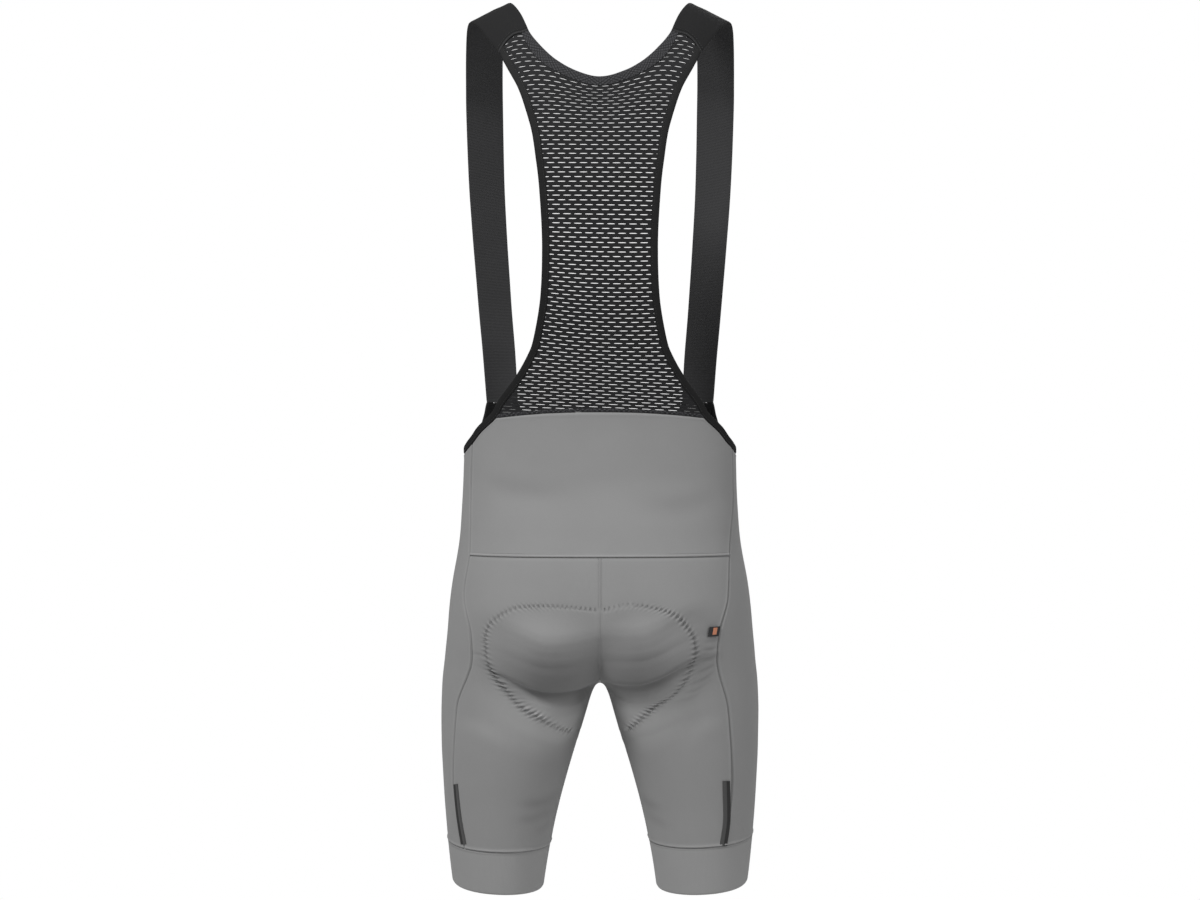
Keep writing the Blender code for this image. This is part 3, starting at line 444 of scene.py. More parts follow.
def form(x, y, drop):
    """Distance out from the garment's outer surface, negative inside it."""
    width, back, front = sections(TORSO, drop, "half_width", "back", "front")
    torso = tube(x, y, width, back, front, TORSO_POWER)
    torso = -blend(-torso, TORSO_FOOT - drop, FOOT_BLEND)
    inner, outer, back, front = sections(THIGH, drop, "inner", "outer", "back", "front")
    middle = (inner + outer) / 2
    half = (outer - inner) / 2
    left = tube(x - middle, y, half, back, front, THIGH_POWER)
    right = tube(x + middle, y, half, back, front, THIGH_POWER)
    legs = blend(left, right, LEGS_BLEND) + np.clip(THIGH[0].drop - drop, 0, None)
    across = (np.abs(x) - SWELL_X) / SWELL_RADII[0]
    deep = (y - SWELL_Y) / SWELL_RADII[1]
    down = (drop - SWELL_DROP) / SWELL_RADII[2]
    swell = (np.sqrt(across ** 2 + deep ** 2 + down ** 2) - 1) * SWELL_RADII[2]
    return blend(blend(torso, legs, TORSO_BLEND), swell, SWELL_BLEND)


def away(points):
    """The form's distance at points (x, y, -drop)."""
    return form(points[..., 0], points[..., 1], -points[..., 2])


def outward(points):
    """Unit normals of the form at points."""
    step = 0.4
    normals = np.zeros_like(points)
    for axis in range(3):
        shift = np.zeros(3)
        shift[axis] = step
        normals[..., axis] = away(points + shift) - away(points - shift)
    return unit(normals)


def root(distance, inside, outside):
    """Where a distance turns from negative to positive, between two arrays of places."""
    low = np.array(inside, float)
    high = np.array(outside, float)
    for _ in range(24):
        middle = (low + high) / 2
        within = distance(middle) < 0
        low = np.where(within, middle, low)
        high = np.where(within, high, middle)
    return (low + high) / 2


def leg_middle(drop):
    """Distance from the middle to the axis that one side's sections turn about."""
    inner, outer = sections(THIGH, drop, "inner", "outer")
    return (inner + outer) / 2 + np.clip(620 - drop, 0, 60) * 0.1


@cache
def crotch():
    """Drop of the point where the legs part."""
    return float(root(lambda drop: form(0.0, 0.0, drop), 700.0, 760.0))


@cache
def turn_table():
    """Angles of the centre back and the centre front at close-set drops."""
    near = np.linspace(1, 0, 1500) ** 2
    drops = crotch() - 1e-4 - (crotch() - 5) * near
    drops = np.concatenate((drops, [crotch() + 1e-4, 990.0]))
    still = np.zeros_like(drops)
    back = root(lambda y: form(still, y, drops), still, still + REACH)
    front = root(lambda y: form(still, -y, drops), still, still + REACH)
    whole = drops < crotch()
    start = np.where(whole, np.arctan2(back, leg_middle(drops)), 0.0)
    end = 2 * np.pi - np.where(whole, np.arctan2(front, leg_middle(drops)), 0.0)
    return drops, start, end


def turn_limits(drop):
    """Angles of the centre back and the centre front, seen from one side's axis."""
    drops, start, end = turn_table()
    return np.interp(drop, drops, start), np.interp(drop, drops, end)


def fold_share(share):
    """Splits a running share into its side (1 left, -1 right) and its place on it."""
    share = np.asarray(share, float)
    share = np.where(share > 1, share - 2, share)
    return np.copysign(1.0, share), np.abs(share)


def place(spots):
    """Points on the form for an array of (share, drop)."""
    spots = np.asarray(spots, float)
    side, share = fold_share(spots[..., 0])
    drop = spots[..., 1]
    start, end = turn_limits(drop)
    angle = start + share * (end - start)
    axis = leg_middle(drop)
    ahead = -np.cos(angle)
    aside = np.sin(angle)
    far = np.minimum(REACH, axis / np.clip(-ahead, 1e-6, None))
    reach = root(lambda r: form(axis + r * ahead, r * aside, drop), 0 * drop, far)
    out = axis + reach * ahead
    return np.stack((side * np.clip(out, 0, None), reach * aside, -drop), axis=-1)


def spot(out, drop, face, side=1):
    """(share, drop) of a place on the back or the front, out from the middle."""
    out = np.asarray(out, float)
    drop = np.broadcast_to(np.asarray(drop, float), out.shape)
    sign = 1.0 if face == "back" else -1.0
    deep = root(lambda y: form(out, sign * y, drop), 0 * out, 0 * out + REACH)
    start, end = turn_limits(drop)
    angle = np.arctan2(sign * deep, leg_middle(drop) - out) % (2 * np.pi)
    return pairs(side * (angle - start) / (end - start), drop)


def on_face(out, drop, face="back"):
    """Points on the form behind or before places on the middle plane; out may be minus."""
    out = np.asarray(out, float)
    sign = 1.0 if face == "back" else -1.0
    deep = root(lambda y: form(np.abs(out), sign * y, drop), 0 * out, 0 * out + REACH)
    return np.stack((out, sign * deep, -np.asarray(drop, float) + 0 * out), axis=-1)


def onto_form(points):
    """Moves nearby points onto the form along its normals."""
    for _ in range(4):
        points = points - outward(points) * away(points)[..., None]
    return points


# ---- seams

def side_seam(side, drops):
    """The seam between the seat and the side panel, as spots at the given drops."""
    name = "left" if side > 0 else "right"
    return spot(section(SIDE_SEAM, name, drops), drops, "back", side)


def front_seam(side, drops):
    """The seam between the side panel and the front panel."""
    return pairs(side * FRONT_SEAM_SHARE, drops)


def nearest(line, wanted):
    """Index of the line's spot that lies nearest to a wanted one."""
    return int(np.argmin(np.linalg.norm((line - np.asarray(wanted)) * SPOT_SCALE, axis=1)))


def crossing(line, start, seam, side):
    """Index past start at which the armhole line crosses an upright seam."""
    gap = side * (line[start:, 0] - seam(side, line[start:, 1])[:, 0])
    return start + int(np.argmax(gap > 0))


@cache
def armhole(side):
    """The armhole seam cut at the yoke's corner and at the upright seams."""
    spots = []
    for row in ARMHOLE:
        if row.face == "side":
            spots.append((side * 0.5, row.drop))
        else:
            spots.append(tuple(spot(row.out, row.drop, row.face, side)))
    line = spline(np.array(spots) * SPOT_SCALE, 600) / SPOT_SCALE
    corner = nearest(line, spots[MESH_CORNER_ROW])
    back = crossing(line, corner, side_seam, side)
    front = crossing(line, back, front_seam, side)
    return {
        "mesh": resample(line[:corner + 1], 300),
        "yoke": resample(line[corner:back + 1], 60),
        "side": resample(line[back:front + 1], 90),
        "front": resample(line[front:], 80),
    }


def mesh_seam(share):
    """Drop of the seam between mesh and yoke at shares across the back."""
    corner = spot(ARMHOLE[MESH_CORNER_ROW].out, ARMHOLE[MESH_CORNER_ROW].drop, "back")[0]
    return MESH_SEAM + MESH_SEAM_SAG * (np.asarray(share) / corner) ** 2


def strap_seam(side, face, t):
    """The strap's end seam as spots, from the armhole edge to the neck edge."""
    ends = STRAP[0] if face == "back" else STRAP[-1]
    t = np.asarray(t, float)
    out = ends.outer_x + (ends.inner_x - ends.outer_x) * t
    drop = ends.outer_drop + (ends.inner_drop - ends.outer_drop) * t
    if face == "back":
        stops = np.linspace(0, 1, len(STRAP_SEAM_ARCH))
        lift = smooth(stops, np.array(STRAP_SEAM_ARCH), t)
        out = out + ARCH_OUT * lift
        drop = drop - ARCH_UP * lift
    return spot(out, drop, face, side)


def neck_line(rows, face, count):
    """A neckline from the left strap to the right one, as close-set spots."""
    left = np.array([spot(row.out, row.drop, face) for row in rows])
    right = left[-2::-1] * np.array((-1.0, 1.0))
    if face == "front":
        right = right + np.array((2.0, 0.0))
    return spline(np.vstack((left, right)) * SPOT_SCALE, count) / SPOT_SCALE


def level_seam(inner, outer, share):
    """A nearly level seam round a leg, higher at the outer side and in front."""
    turn = 2 * np.pi * share
    level = inner + (outer - inner) * (1 - np.cos(turn)) / 2
    return level + HEM_TILT * np.sin(turn) - 0.5 - 1.5 * np.cos(turn)


def gripper_seam(side, share):
    """Drop of the seam above one leg's elastic band."""
    return level_seam(GRIPPER_SEAM_INNER[side], GRIPPER_SEAM_OUTER[side], np.abs(share))


# ---- relief of the cloth

def hump(distance, centre, width):
    """A soft hump of height 1 across a seam or a fold."""
    return np.exp(-((distance - centre) / width) ** 2)


def seam_relief(near):
    """Cloth that dips into a plain seam and swells a little beside it."""
    return 0.38 * hump(near, 2.5, 1.3) - 0.95 * hump(near, 0, 1.0)


def ridge_relief(near):
    """Cloth that lies on top of the seam it is sewn to."""
    return 0.85 * hump(near, 1.2, 1.3) - 0.45 * hump(near, 0, 0.35)


def edge_relief(near):
    """The seams of a panel: plain at its sides and its head, and on top of the one at its foot."""
    return sum(seam_relief(near[k]) for k in (0, 1, 3)) + ridge_relief(near[2])


def under_relief(near):
    """Cloth that goes under the seam beside it."""
    return -0.95 * hump(near, 0, 1.2) + 0.15 * hump(near, 3.6, 1.3)


def crease_height(crease, x, drop):
    """Height of one crease at places out and down of its face."""
    across = crease.out_b - crease.out_a
    down = crease.drop_b - crease.drop_a
    length = np.hypot(across, down)
    t = ((x - crease.out_a) * across + (drop - crease.drop_a) * down) / length ** 2
    off = ((drop - crease.drop_a) * across - (x - crease.out_a) * down) / length
    off = np.sign(across) * off - 4 * crease.sag * t * (1 - t)
    inside = np.clip(t, 0, 1)
    beyond = np.abs(t - inside) * length / crease.width
    taper = np.sin(np.pi * np.clip(0.04 + 0.92 * inside, 0, 1)) ** 0.7
    taper = taper * np.exp(-beyond ** 2)
    q = off / crease.width
    return crease.depth * taper * np.exp(-q * q) * (1 - 0.7 * q * q)


def crease_relief(points):
    """Height of the listed creases at points of the form."""
    x, y, z = points[..., 0], points[..., 1], points[..., 2]
    height = np.zeros(points.shape[:-1])
    for creases, on_it in ((BACK_CREASES, y > 0), (FRONT_CREASES, y < 0)):
        for crease in creases:
            height += np.where(on_it, crease_height(crease, x, -z), 0)
    return height


def step_up(value, start, end):
    """A smooth step from 0 before start to 1 past end."""
    return eased(np.clip((value - start) / (end - start), 0, 1))


def fold_place(points):
    """Where points lie below the fold, and how strong it is there over and under it."""
    level, over, under = sections(FOLD, points[..., 0], "drop", "over", "under", stop="out")
    behind = step_up(points[..., 1], 20, 60)
    return -points[..., 2] - level, over * behind, under * behind


def fold_relief(points):
    """How the padded seat hangs over the fold under it, and how the thigh meets it there."""
    below, over, under = fold_place(points)
    rise = section(FOLD_PROFILE, "rise", below, "below")
    groove = 1.5 * hump(below, 2.0, 2.4) * over
    bridge = hump(points[..., 0], 0, 12) * over * step_up(below, -75, -50) * (below < 0)
    bridge = bridge * step_up(-below, 0, 12)
    return np.where(below > 3, rise * under, rise * over) - groove + 1.3 * bridge


def painted_fold_shade(points):
    """Painted shade: how much the cloth's tone is darkened towards the fold, and lightened just below
    it.
    """
    below, over, _ = fold_place(points)
    return -section(FOLD_PROFILE, "dark", below, "below") * over


@cache
def pad_outline(side, face):
    """The sewn edge of the pad on one side of one face, as close-set (x, drop)."""
    if face == "back":
        return spline(PAD_LEFT if side > 0 else PAD_RIGHT, 400)
    return spline([(side * out, drop) for out, drop in PAD_FRONT], 300)


def nearest_on(line, flat, block=4000):
    """For each of many flat places, the index of the line's nearest point and its distance."""
    found = []
    for start in range(0, len(flat), block):
        gap = ((flat[start:start + block, None] - line[None]) ** 2).sum(axis=2)
        found.append((gap.argmin(axis=1), np.sqrt(gap.min(axis=1))))
    return [np.concatenate(part) for part in zip(*found)]


def beside_outline(line, x, drop):
    """Distance to a sewn outline, plus inside it, and the run along it."""
    flat = pairs(x, drop).reshape(-1, 2)
    k, far = nearest_on(line, flat)
    ahead = np.gradient(line, axis=0)[k]
    step = flat - line[k]
    turn = ahead[:, 0] * step[:, 1] - ahead[:, 1] * step[:, 0]
    return (far * np.sign(turn)).reshape(x.shape), lengths(line)[k].reshape(x.shape)


def pad_relief(points, side, face, pucker):
    """The sewn-on pad showing through: its step, and its sunk seam with puckers along it."""
    line = pad_outline(side, face)
    inside, run = beside_outline(line, points[..., 0], -points[..., 2])
    inside = inside * side if face == "back" else -inside * side
    step = 0.95 * step_up(inside, -1.6, 1.6)
    places = lengths(line)
    shares = places / places[-1]
    rate = section(PUCKERS, "rate", shares, "share")
    waves = np.concatenate(([0.0], np.cumsum((rate[1:] + rate[:-1]) / 2 * np.diff(places))))
    share = run / places[-1]
    wander = 0.13 * np.sin(run / 13.0 + 1.7) + 0.1 * np.sin(run / 5.3)
    slant, strong, reach = sections(PUCKERS, share, "slant", "strength", "reach", stop="share")
    wave = np.cos(TURN * (np.interp(run, places, waves) + slant * inside + wander))
    strong = strong * (0.85 + 0.2 * np.sin(run / 9.0 + side))
    near = np.exp(-(np.abs(inside) / reach) ** 2)
    return step, -0.5 * hump(inside, 0, 1.4) + pucker * strong * wave * near


def unevenness(points):
    """The slight unevenness of cloth that clings to a body."""
    x, y, z = points[..., 0], points[..., 1], points[..., 2]
    low = np.sin(x / 31 + 1.3 * np.sin(z / 43)) * np.sin(z / 37 + y / 53 + 0.7)
    high = np.sin(x / 15.0 + z / 23 + 2.1) * np.sin(y / 17 - z / 19)
    return 0.22 * low + 0.08 * high


# ---- meshes

def link(name, mesh):
    """Puts a mesh in the scene as a piece of its own."""
    made = bpy.data.objects.new(name, mesh)
    bpy.context.scene.collection.objects.link(made)
    return made


def quad_mesh(name, vertices, quads, uv, shade):
    """A mesh of quads in millimetres, with a UV for each corner and a shade for each point."""
    mesh = bpy.data.meshes.new(name)
    mesh.vertices.add(len(vertices))
    mesh.vertices.foreach_set("co", (vertices * MM).astype(np.float32).ravel())
    mesh.loops.add(quads.size)
    mesh.loops.foreach_set("vertex_index", quads.astype(np.int32).ravel())
    mesh.polygons.add(len(quads))
    mesh.polygons.foreach_set("loop_start", np.arange(0, quads.size, 4, dtype=np.int32))
    mesh.update(calc_edges=True)
    layer = mesh.uv_layers.new(name="cloth")
    layer.data.foreach_set("uv", (uv * MM).astype(np.float32).ravel())
    layer = mesh.attributes.new("shade", "FLOAT", "POINT")
    layer.data.foreach_set("value", shade.astype(np.float32).ravel())
    mesh.shade_smooth()
    return mesh


def grid_quads(rows, columns):
    """Corners of a grid's faces, as places in its list of points."""
    a = (np.arange(rows - 1)[:, None] * columns + np.arange(columns - 1)).ravel()
    return np.stack((a, a + 1, a + 1 + columns, a + columns), axis=1)


def edge_quads(line, shift):
    """Wall faces between a line of places and the same line on the other side."""
    line = np.asarray(line)
    return np.stack((line[1:], line[:-1], line[:-1] + shift, line[1:] + shift), axis=1)


def shell(name, points, normals, lift, thickness, uv, wrap=False, shade=0.0, lining=0.0):
    """A closed piece of cloth over a grid of points, thick inwards from its lifted face."""
    rows, columns = points.shape[:2]
    count = rows * columns
    lift = np.broadcast_to(lift, (rows, columns))
    thickness = np.broadcast_to(thickness, (rows, columns))
    outer = points + normals * lift[..., None]
    inner = outer - normals * thickness[..., None]
    vertices = np.concatenate((outer.reshape(-1, 3), inner.reshape(-1, 3)))
    face = grid_quads(rows, columns)
    number = np.arange(count).reshape(rows, columns)
    walls = [edge_quads(number[0], count), edge_quads(number[-1, ::-1], count)]
    if not wrap:
        walls += [edge_quads(number[::-1, 0], count), edge_quads(number[:, -1], count)]
    quads = np.concatenate([face, face[:, ::-1] + count] + walls)
    ahead = np.gradient(points, axis=1)
    up = np.gradient(points, axis=0)
    if (np.cross(ahead, up) * normals).sum() < 0:
        quads = quads[:, ::-1]
    both = np.concatenate((uv.reshape(-1, 2), uv.reshape(-1, 2)))
    corners = both[quads.ravel()]
    shades = np.broadcast_to(shade, (rows, columns)).ravel()
    shades = np.concatenate((shades, shades + lining))
    if wrap:
        same = np.arange(2 * count).reshape(2, rows, columns)
        same[:, :, -1] = same[:, :, 0]
        used = np.unique(same)
        quads = np.searchsorted(used, same.ravel())[quads]
        vertices = vertices[used]
        shades = shades[used]
    mesh = quad_mesh(name, vertices, quads, corners, shades)
    mesh.set_sharp_from_angle(angle=np.radians(55))
    return link(name, mesh)


def crowded(count, length, near=(0.3, 0.8, 1.5, 2.4, 3.6)):
    """Shares from 0 to 1 in even steps, with more of them beside the seams at both ends."""
    near = np.array(near) / length
    even = np.linspace(0, 1, count + 1)
    inner = even[(even > near[-1] * 1.3) & (even < 1 - near[-1] * 1.3)]
    return np.concatenate(([0.0], near, inner, 1 - near[::-1], [1.0]))


def edge_distances(points):
    """Distances over a grid of points to its first and last column and row."""
    across = lengths(points.transpose(1, 0, 2)).T
    along_it = lengths(points)
    return across, across[:, -1:] - across, along_it, along_it[-1:] - along_it


def draw_in(points, gap=0.1):
    """Draws a grid's free edges in, so that neighbouring pieces don't touch."""
    result = points.copy()
    for line, inner in ((0, 1), (-1, -2)):
        for edge, beside in ((line, inner), (np.s_[:, line], np.s_[:, inner])):
            step = points[beside] - points[edge]
            size = np.linalg.norm(step, axis=-1, keepdims=True)
            result[edge] += step / np.maximum(size, 1e-9) * np.minimum(gap, size / 3)
    return result


def coons(foot, head, left, right, u, t):
    """A patch of spots between four lines, at shares u across and t up."""
    u = u[None, :, None]
    t = t[:, None, None]
    upright = (1 - t) * foot[None] + t * head[None]
    level = (1 - u) * left[:, None] + u * right[:, None]
    corners = (1 - t) * ((1 - u) * foot[0] + u * foot[-1])
    return upright + level - corners - t * ((1 - u) * head[0] + u * head[-1])


def chained(t, cut, first, second):
    """Places at shares t along two lines end to end, joined at the share called cut."""
    before = along(first, np.clip(t / cut, 0, 1))
    after = along(second, np.clip((t - cut) / (1 - cut), 0, 1))
    return np.where((t <= cut)[:, None], before, after)


# ---- panels of the legs

def leg_drop(side, row, share):
    """Drop of a row of the leg, with rows crowded at the inseam where the legs part."""
    share = np.abs(share)
    foot = gripper_seam(side, share)
    left = np.clip((CROTCH_ROW - row) / CROTCH_ROW, 0, 1)
    gone = np.clip((row - CROTCH_ROW) / (LEG_ROWS - CROTCH_ROW), 0, 1)
    upper = row <= CROTCH_ROW
    rise = crotch() - YOKE_SEAM
    fall = foot - crotch()
    even = crotch() + np.where(upper, -rise * left, fall * gone)
    close = crotch() + np.where(upper, -rise * left ** 2, fall * gone ** 2)
    reach = np.clip(1 - np.minimum(share, 1 - share) / INSEAM_REACH, 0, 1)
    return even + (close - even) * eased(reach)


def leg_spots(side, start_of, end_of, rows, u):
    """Rows of spots down a leg between two upright seams, the lowest row first."""
    rows = rows[::-1, None]
    u = u[None, :]
    drop = YOKE_SEAM + rows * ROW_DROP + 0 * u
    for _ in range(6):
        share = start_of(drop) * (1 - u) + end_of(drop) * u
        drop = leg_drop(side, rows, share)
    return pairs(side * share, drop)


def leg_rows(count, padded=1):
    """Running rows of a leg, with more of them over the pad and beside level seams."""
    knots = np.array((0, PAD_ROWS[0], PAD_ROWS[1], LEG_ROWS))
    places = np.cumsum(np.array((0, 1, padded, 1)) * np.diff(knots, prepend=0))
    even = np.interp(np.linspace(0, places[-1], count + 1), places, knots)
    head = np.array((0.0, 0.022, 0.06, 0.11, 0.18, 0.27))
    foot = LEG_ROWS - np.array((0.21, 0.14, 0.085, 0.045, 0.016, 0.0))
    inner = even[(even > 0.36) & (even < LEG_ROWS - 0.3)]
    return np.concatenate((head, inner, foot))


def seam_share(side):
    """The side seam's share as a function of drop."""
    return lambda drop: np.abs(side_seam(side, drop)[..., 0])


def front_share(drop):
    """The front seam's share at any drop."""
    return 0 * drop + FRONT_SEAM_SHARE


def waist_edge(side, seam, top):
    """An upright seam from the yoke level up to the armhole."""
    drops = np.linspace(YOKE_SEAM, top[1], 61)
    edge = seam(side, drops)
    edge[-1] = top
    return edge


def cloth_uv(spots):
    """Where spots lie on the cloth, in millimetres round and down."""
    return spots * SPOT_SCALE * np.array((1, -1))


def panel(name, node, spots, relief, gap=0.1):
    """One knit panel of the shorts over a grid of spots, in place of its CAD node."""
    points = place(spots)
    normals = outward(points)
    broad, fine = relief(points, edge_distances(points))
    lift = broad + fine + unevenness(points) + fold_relief(points)
    # Painted shade and highlight: the knit is darkened in its seams, creases and pucker troughs and
    # lightened on their ridges, with the painted shade of the fold added; the lining makes the inner
    # face paler.
    shade = np.clip(fine, -1.1, 0.9) + painted_fold_shade(points)
    made = shell(name, draw_in(points, gap), normals, lift, KNIT, cloth_uv(spots), shade=shade,
                 lining=2.0)
    return finish(made, "heather_knit", "grey_knit", node)


def seat_spots(side):
    """The seat and the back of one leg as a grid of spots."""
    u = crowded(SEAT_COLUMNS, 180.0)
    return leg_spots(side, lambda drop: 0 * drop, seam_share(side), leg_rows(SEAT_ROWS, 2.5), u)


def make_seat(side, word, pucker, creases):
    """The seat and the back of one leg, from the yoke to the elastic band."""
    def relief(points, near):
        middle, outer, foot, head = near
        fine = under_relief(head) + ridge_relief(foot) + seam_relief(outer)
        step, sewn = pad_relief(points, side, "back", pucker)
        behind = points[..., 1] > 0
        fine += 0.22 * hump(middle, 0, 0.8) - 0.2 * hump(middle, 1.6, 0.8) + sewn * behind
        return step * behind, fine + creases * crease_relief(points)
    return panel("seat_panel_" + word, "seat_" + word, seat_spots(side), relief)


def side_spots(side):
    """The side panel as a grid of spots, and the count of its rows below the yoke level."""
    parts = armhole(side)
    u = crowded(SIDE_COLUMNS, 115.0)
    lower = leg_spots(side, seam_share(side), front_share, leg_rows(PANEL_ROWS), u)
    back = waist_edge(side, side_seam, parts["side"][0])
    front = waist_edge(side, front_seam, parts["side"][-1])
    t = crowded(WAIST_ROWS, 110.0)[1:]
    t = t[t > 0.02]
    upper = coons(lower[-1], along(parts["side"], u), along(back, t), along(front, t), u, t)
    return np.vstack((lower, upper))


def make_side(side, word, creases):
    """The side panel, from the armhole to the elastic band."""
    def relief(points, near):
        return 0, edge_relief(near) + creases * crease_relief(points)
    return panel("side_panel_" + word, "side_" + word, side_spots(side), relief)


def front_spots(side):
    """The front panel as a grid of spots."""
    parts = armhole(side)
    u = crowded(FRONT_COLUMNS, 170.0)
    lower = leg_spots(side, front_share, lambda d: 0 * d + 1, leg_rows(FRONT_ROWS, 2), u)
    neck = neck_line(FRONT_NECK_SEAM, "front", 1200)[:601] * np.array((side, 1.0))
    end = strap_seam(side, "front", np.linspace(0.2, 0.8, 31))
    head = chained(u, STRAP_COLUMNS_SHARE, end, neck)
    t = crowded(UPPER_FRONT_ROWS, 170.0)[1:]
    t = t[t > 0.015]
    edge = waist_edge(side, front_seam, parts["front"][0])
    outer = chained(t, WAIST_SHARE_FRONT, edge, parts["front"])
    drops = YOKE_SEAM + (FRONT_NECK_SEAM[-1].drop - YOKE_SEAM) * t
    middle = pairs(side, drops)
    upper = coons(lower[-1], head, outer, middle, u, t)
    return np.vstack((lower, upper))


def make_front(side, word, pucker, creases):
    """The front panel, from the strap and the neckline down to the elastic band."""
    def relief(points, near):
        step, sewn = pad_relief(points, side, "front", pucker)
        ahead = 0.6 * (points[..., 1] < 0)
        fine = edge_relief(near) + sewn * ahead
        return step * ahead, fine + creases * crease_relief(points)
    return panel("front_panel_" + word, "front_" + word, front_spots(side), relief)


def yoke_corners():
    """Shares of the yoke's two lower corners, on the side seams."""
    return [side_seam(side, np.array([YOKE_SEAM]))[0, 0] for side, _ in SIDES]


def make_yoke(creases):
    """The grey back yoke, from the mesh down to the seat seam."""
    left = armhole(1)["yoke"]
    right = armhole(-1)["yoke"]
    left_foot, right_foot = yoke_corners()
    u = crowded(YOKE_COLUMNS, 330.0)
    t = crowded(YOKE_ROWS, 150.0)
    shares = np.interp(u, (0, 0.5, 1), (left_foot, 0, right_foot))
    foot = pairs(shares, YOKE_SEAM)
    shares = np.interp(u, (0, 0.5, 1), (left[0, 0], 0, right[0, 0]))
    head = pairs(shares, mesh_seam(shares))
    left_edge = chained(t, WAIST_SHARE_BACK, waist_edge(1, side_seam, left[-1]), left[::-1])
    right_edge = chained(t, WAIST_SHARE_BACK, waist_edge(-1, side_seam, right[-1]), right[::-1])
    left_edge[-1] = head[0] = left[0]
    right_edge[-1] = head[-1] = right[0]
    spots = coons(foot, head, left_edge, right_edge, u, t)

    def relief(points, near):
        return 0, edge_relief(near) + creases * crease_relief(points)
    return panel("yoke_panel", "back_yoke", spots, relief, gap=0.05)


def make_band(side, word):
    """The wide elastic band round the foot of one leg."""
    around = np.linspace(0, 1, BAND_COLUMNS + 1)
    t = crowded(BAND_ROWS, 50.0)[:, None]
    foot = level_seam(HEM_INNER, HEM_OUTER, around)
    head = gripper_seam(side, around)
    drops = foot * (1 - t) + head * t
    spots = pairs(side * around, drops)
    points = place(spots)
    points[:, -1] = points[:, 0]
    normals = outward(points)
    near = edge_distances(points.transpose(1, 0, 2))
    foot, head = near[0].T, near[1].T
    lift = under_relief(head) - 0.45 * hump(head, 3.0, 0.6) - 0.7 * hump(foot, 0, 0.9)
    lift += unevenness(points) * 0.6
    thickness = GRIPPER - 0.8 * hump(foot, 0, 0.7)
    # The shade paints the band darker in the grooves at its seams and lighter on the ridges beside
    # them.
    made = shell("leg_band_" + word, points, normals, lift, thickness, cloth_uv(spots),
                 wrap=True, shade=np.clip(lift, -1.2, 1))
    return finish(made, "grey_band", "grey_gripper", "gripper_" + word)


# ---- narrow pieces

# Across a folded binding from its seam to its free edge: share, outer and inner height.
BINDING_ACROSS = np.array((
    (0.0, -0.25, -1.1), (0.03, 0.25, -1.5), (0.1, 0.55, -1.9), (0.17, 0.55, -2.0),
    (0.22, 0.42, -2.0), (0.27, 0.55, -2.0), (0.4, 0.75, -2.0), (0.6, 0.8, -2.0),
    (0.78, 0.75, -2.0), (0.9, 0.5, -1.8), (0.97, 0.05, -1.4), (1.0, -0.5, -0.95),
))
# The same across the turned hem of the mesh.
HEM_ACROSS = np.array((
    (0.0, -0.2, -1.0), (0.04, 0.3, -1.4), (0.12, 0.45, -1.7), (0.2, 0.25, -1.7),
    (0.3, 0.45, -1.7), (0.55, 0.6, -1.75), (0.8, 0.5, -1.7), (0.93, 0.2, -1.5),
    (1.0, -0.45, -0.95),
))


def ribbon(name, seam, free, across, finish_name, slot, *nodes):
    """A narrow folded piece between a seam line and a free edge, both on the form."""
    share = across[:, 0]
    rows = seam[:, None] * (1 - share[:, None]) + free[:, None] * share[:, None]
    points = onto_form(rows)
    normals = outward(points)
    run = lengths((seam + free) / 2)
    width = np.linalg.norm(free - seam, axis=1)
    uv = pairs(run[:, None], share * width[:, None])
    waver = 0.08 * np.sin(run / 9.0)[:, None] + 0.05 * np.sin(run / 3.1)[:, None]
    lift = across[:, 1] + waver
    thickness = across[:, 1] - across[:, 2] + waver
    made = shell(name, points, normals, lift, thickness, uv)
    return finish(made, finish_name, slot, *nodes)


def ease(count, reach):
    """Weights that fall smoothly from 1 at the first of count places to 0 past reach."""
    return eased(np.clip(1 - np.arange(count) / reach, 0, 1))[:, None]


def pinned(line, first=None, last=None, reach=12):
    """A line whose ends are moved to given places, easing into the line."""
    line = line.copy()
    if first is not None:
        line += ease(len(line), reach) * (first - line[0])
    if last is not None:
        line += ease(len(line), reach)[::-1] * (last - line[-1])
    return line


def armhole_seam(side):
    """The whole armhole seam from the strap behind to the strap in front, as points."""
    parts = armhole(side)
    chain = np.vstack((parts["mesh"], parts["yoke"][1:], parts["side"][1:], parts["front"][1:]))
    seam = place(resample(chain * SPOT_SCALE, ARMHOLE_STEPS) / SPOT_SCALE)
    back = place(strap_seam(side, "back", 0.2))
    front = place(strap_seam(side, "front", 0.2))
    return pinned(seam, back, front)


def aside(line, distance, side=1):
    """A line on the form beside another, a distance to its left as seen from outside."""
    square = side * unit(np.cross(np.gradient(line, axis=0), outward(line)))
    return onto_form(line + square * distance)


def make_armhole_binding(side, word, width):
    """The binding down the mesh and the yoke, round the side and up in front."""
    seam = armhole_seam(side)
    free = aside(seam, width, side)
    back = place(strap_seam(side, "back", 0.0))
    front = place(strap_seam(side, "front", 0.0))
    free = pinned(free, back, front, 8)
    return ribbon("armhole_fold_" + word, seam, free, BINDING_ACROSS, "binding_cloth",
                  "black_binding", "armhole_binding_" + word)


def neck_points(seam_rows, edge_rows, face):
    """Points of a neckline's seam and free edge, ending on the straps' seams."""
    lines = []
    for rows, t in ((seam_rows, 0.8), (edge_rows, 1.0)):
        line = place(neck_line(rows, face, NECK_STEPS))
        ends = [place(strap_seam(side, face, t)) for side in (1, -1)]
        lines.append(pinned(line, ends[0], ends[1], 8))
    return lines


def make_neck_hem():
    """The turned hem along the top of the mesh, from strap to strap."""
    seam, free = neck_points(BACK_NECK_SEAM, BACK_NECK_EDGE, "back")
    return ribbon("turned_hem", seam, free, HEM_ACROSS, "mesh_hem", "black_mesh", "neck_hem")


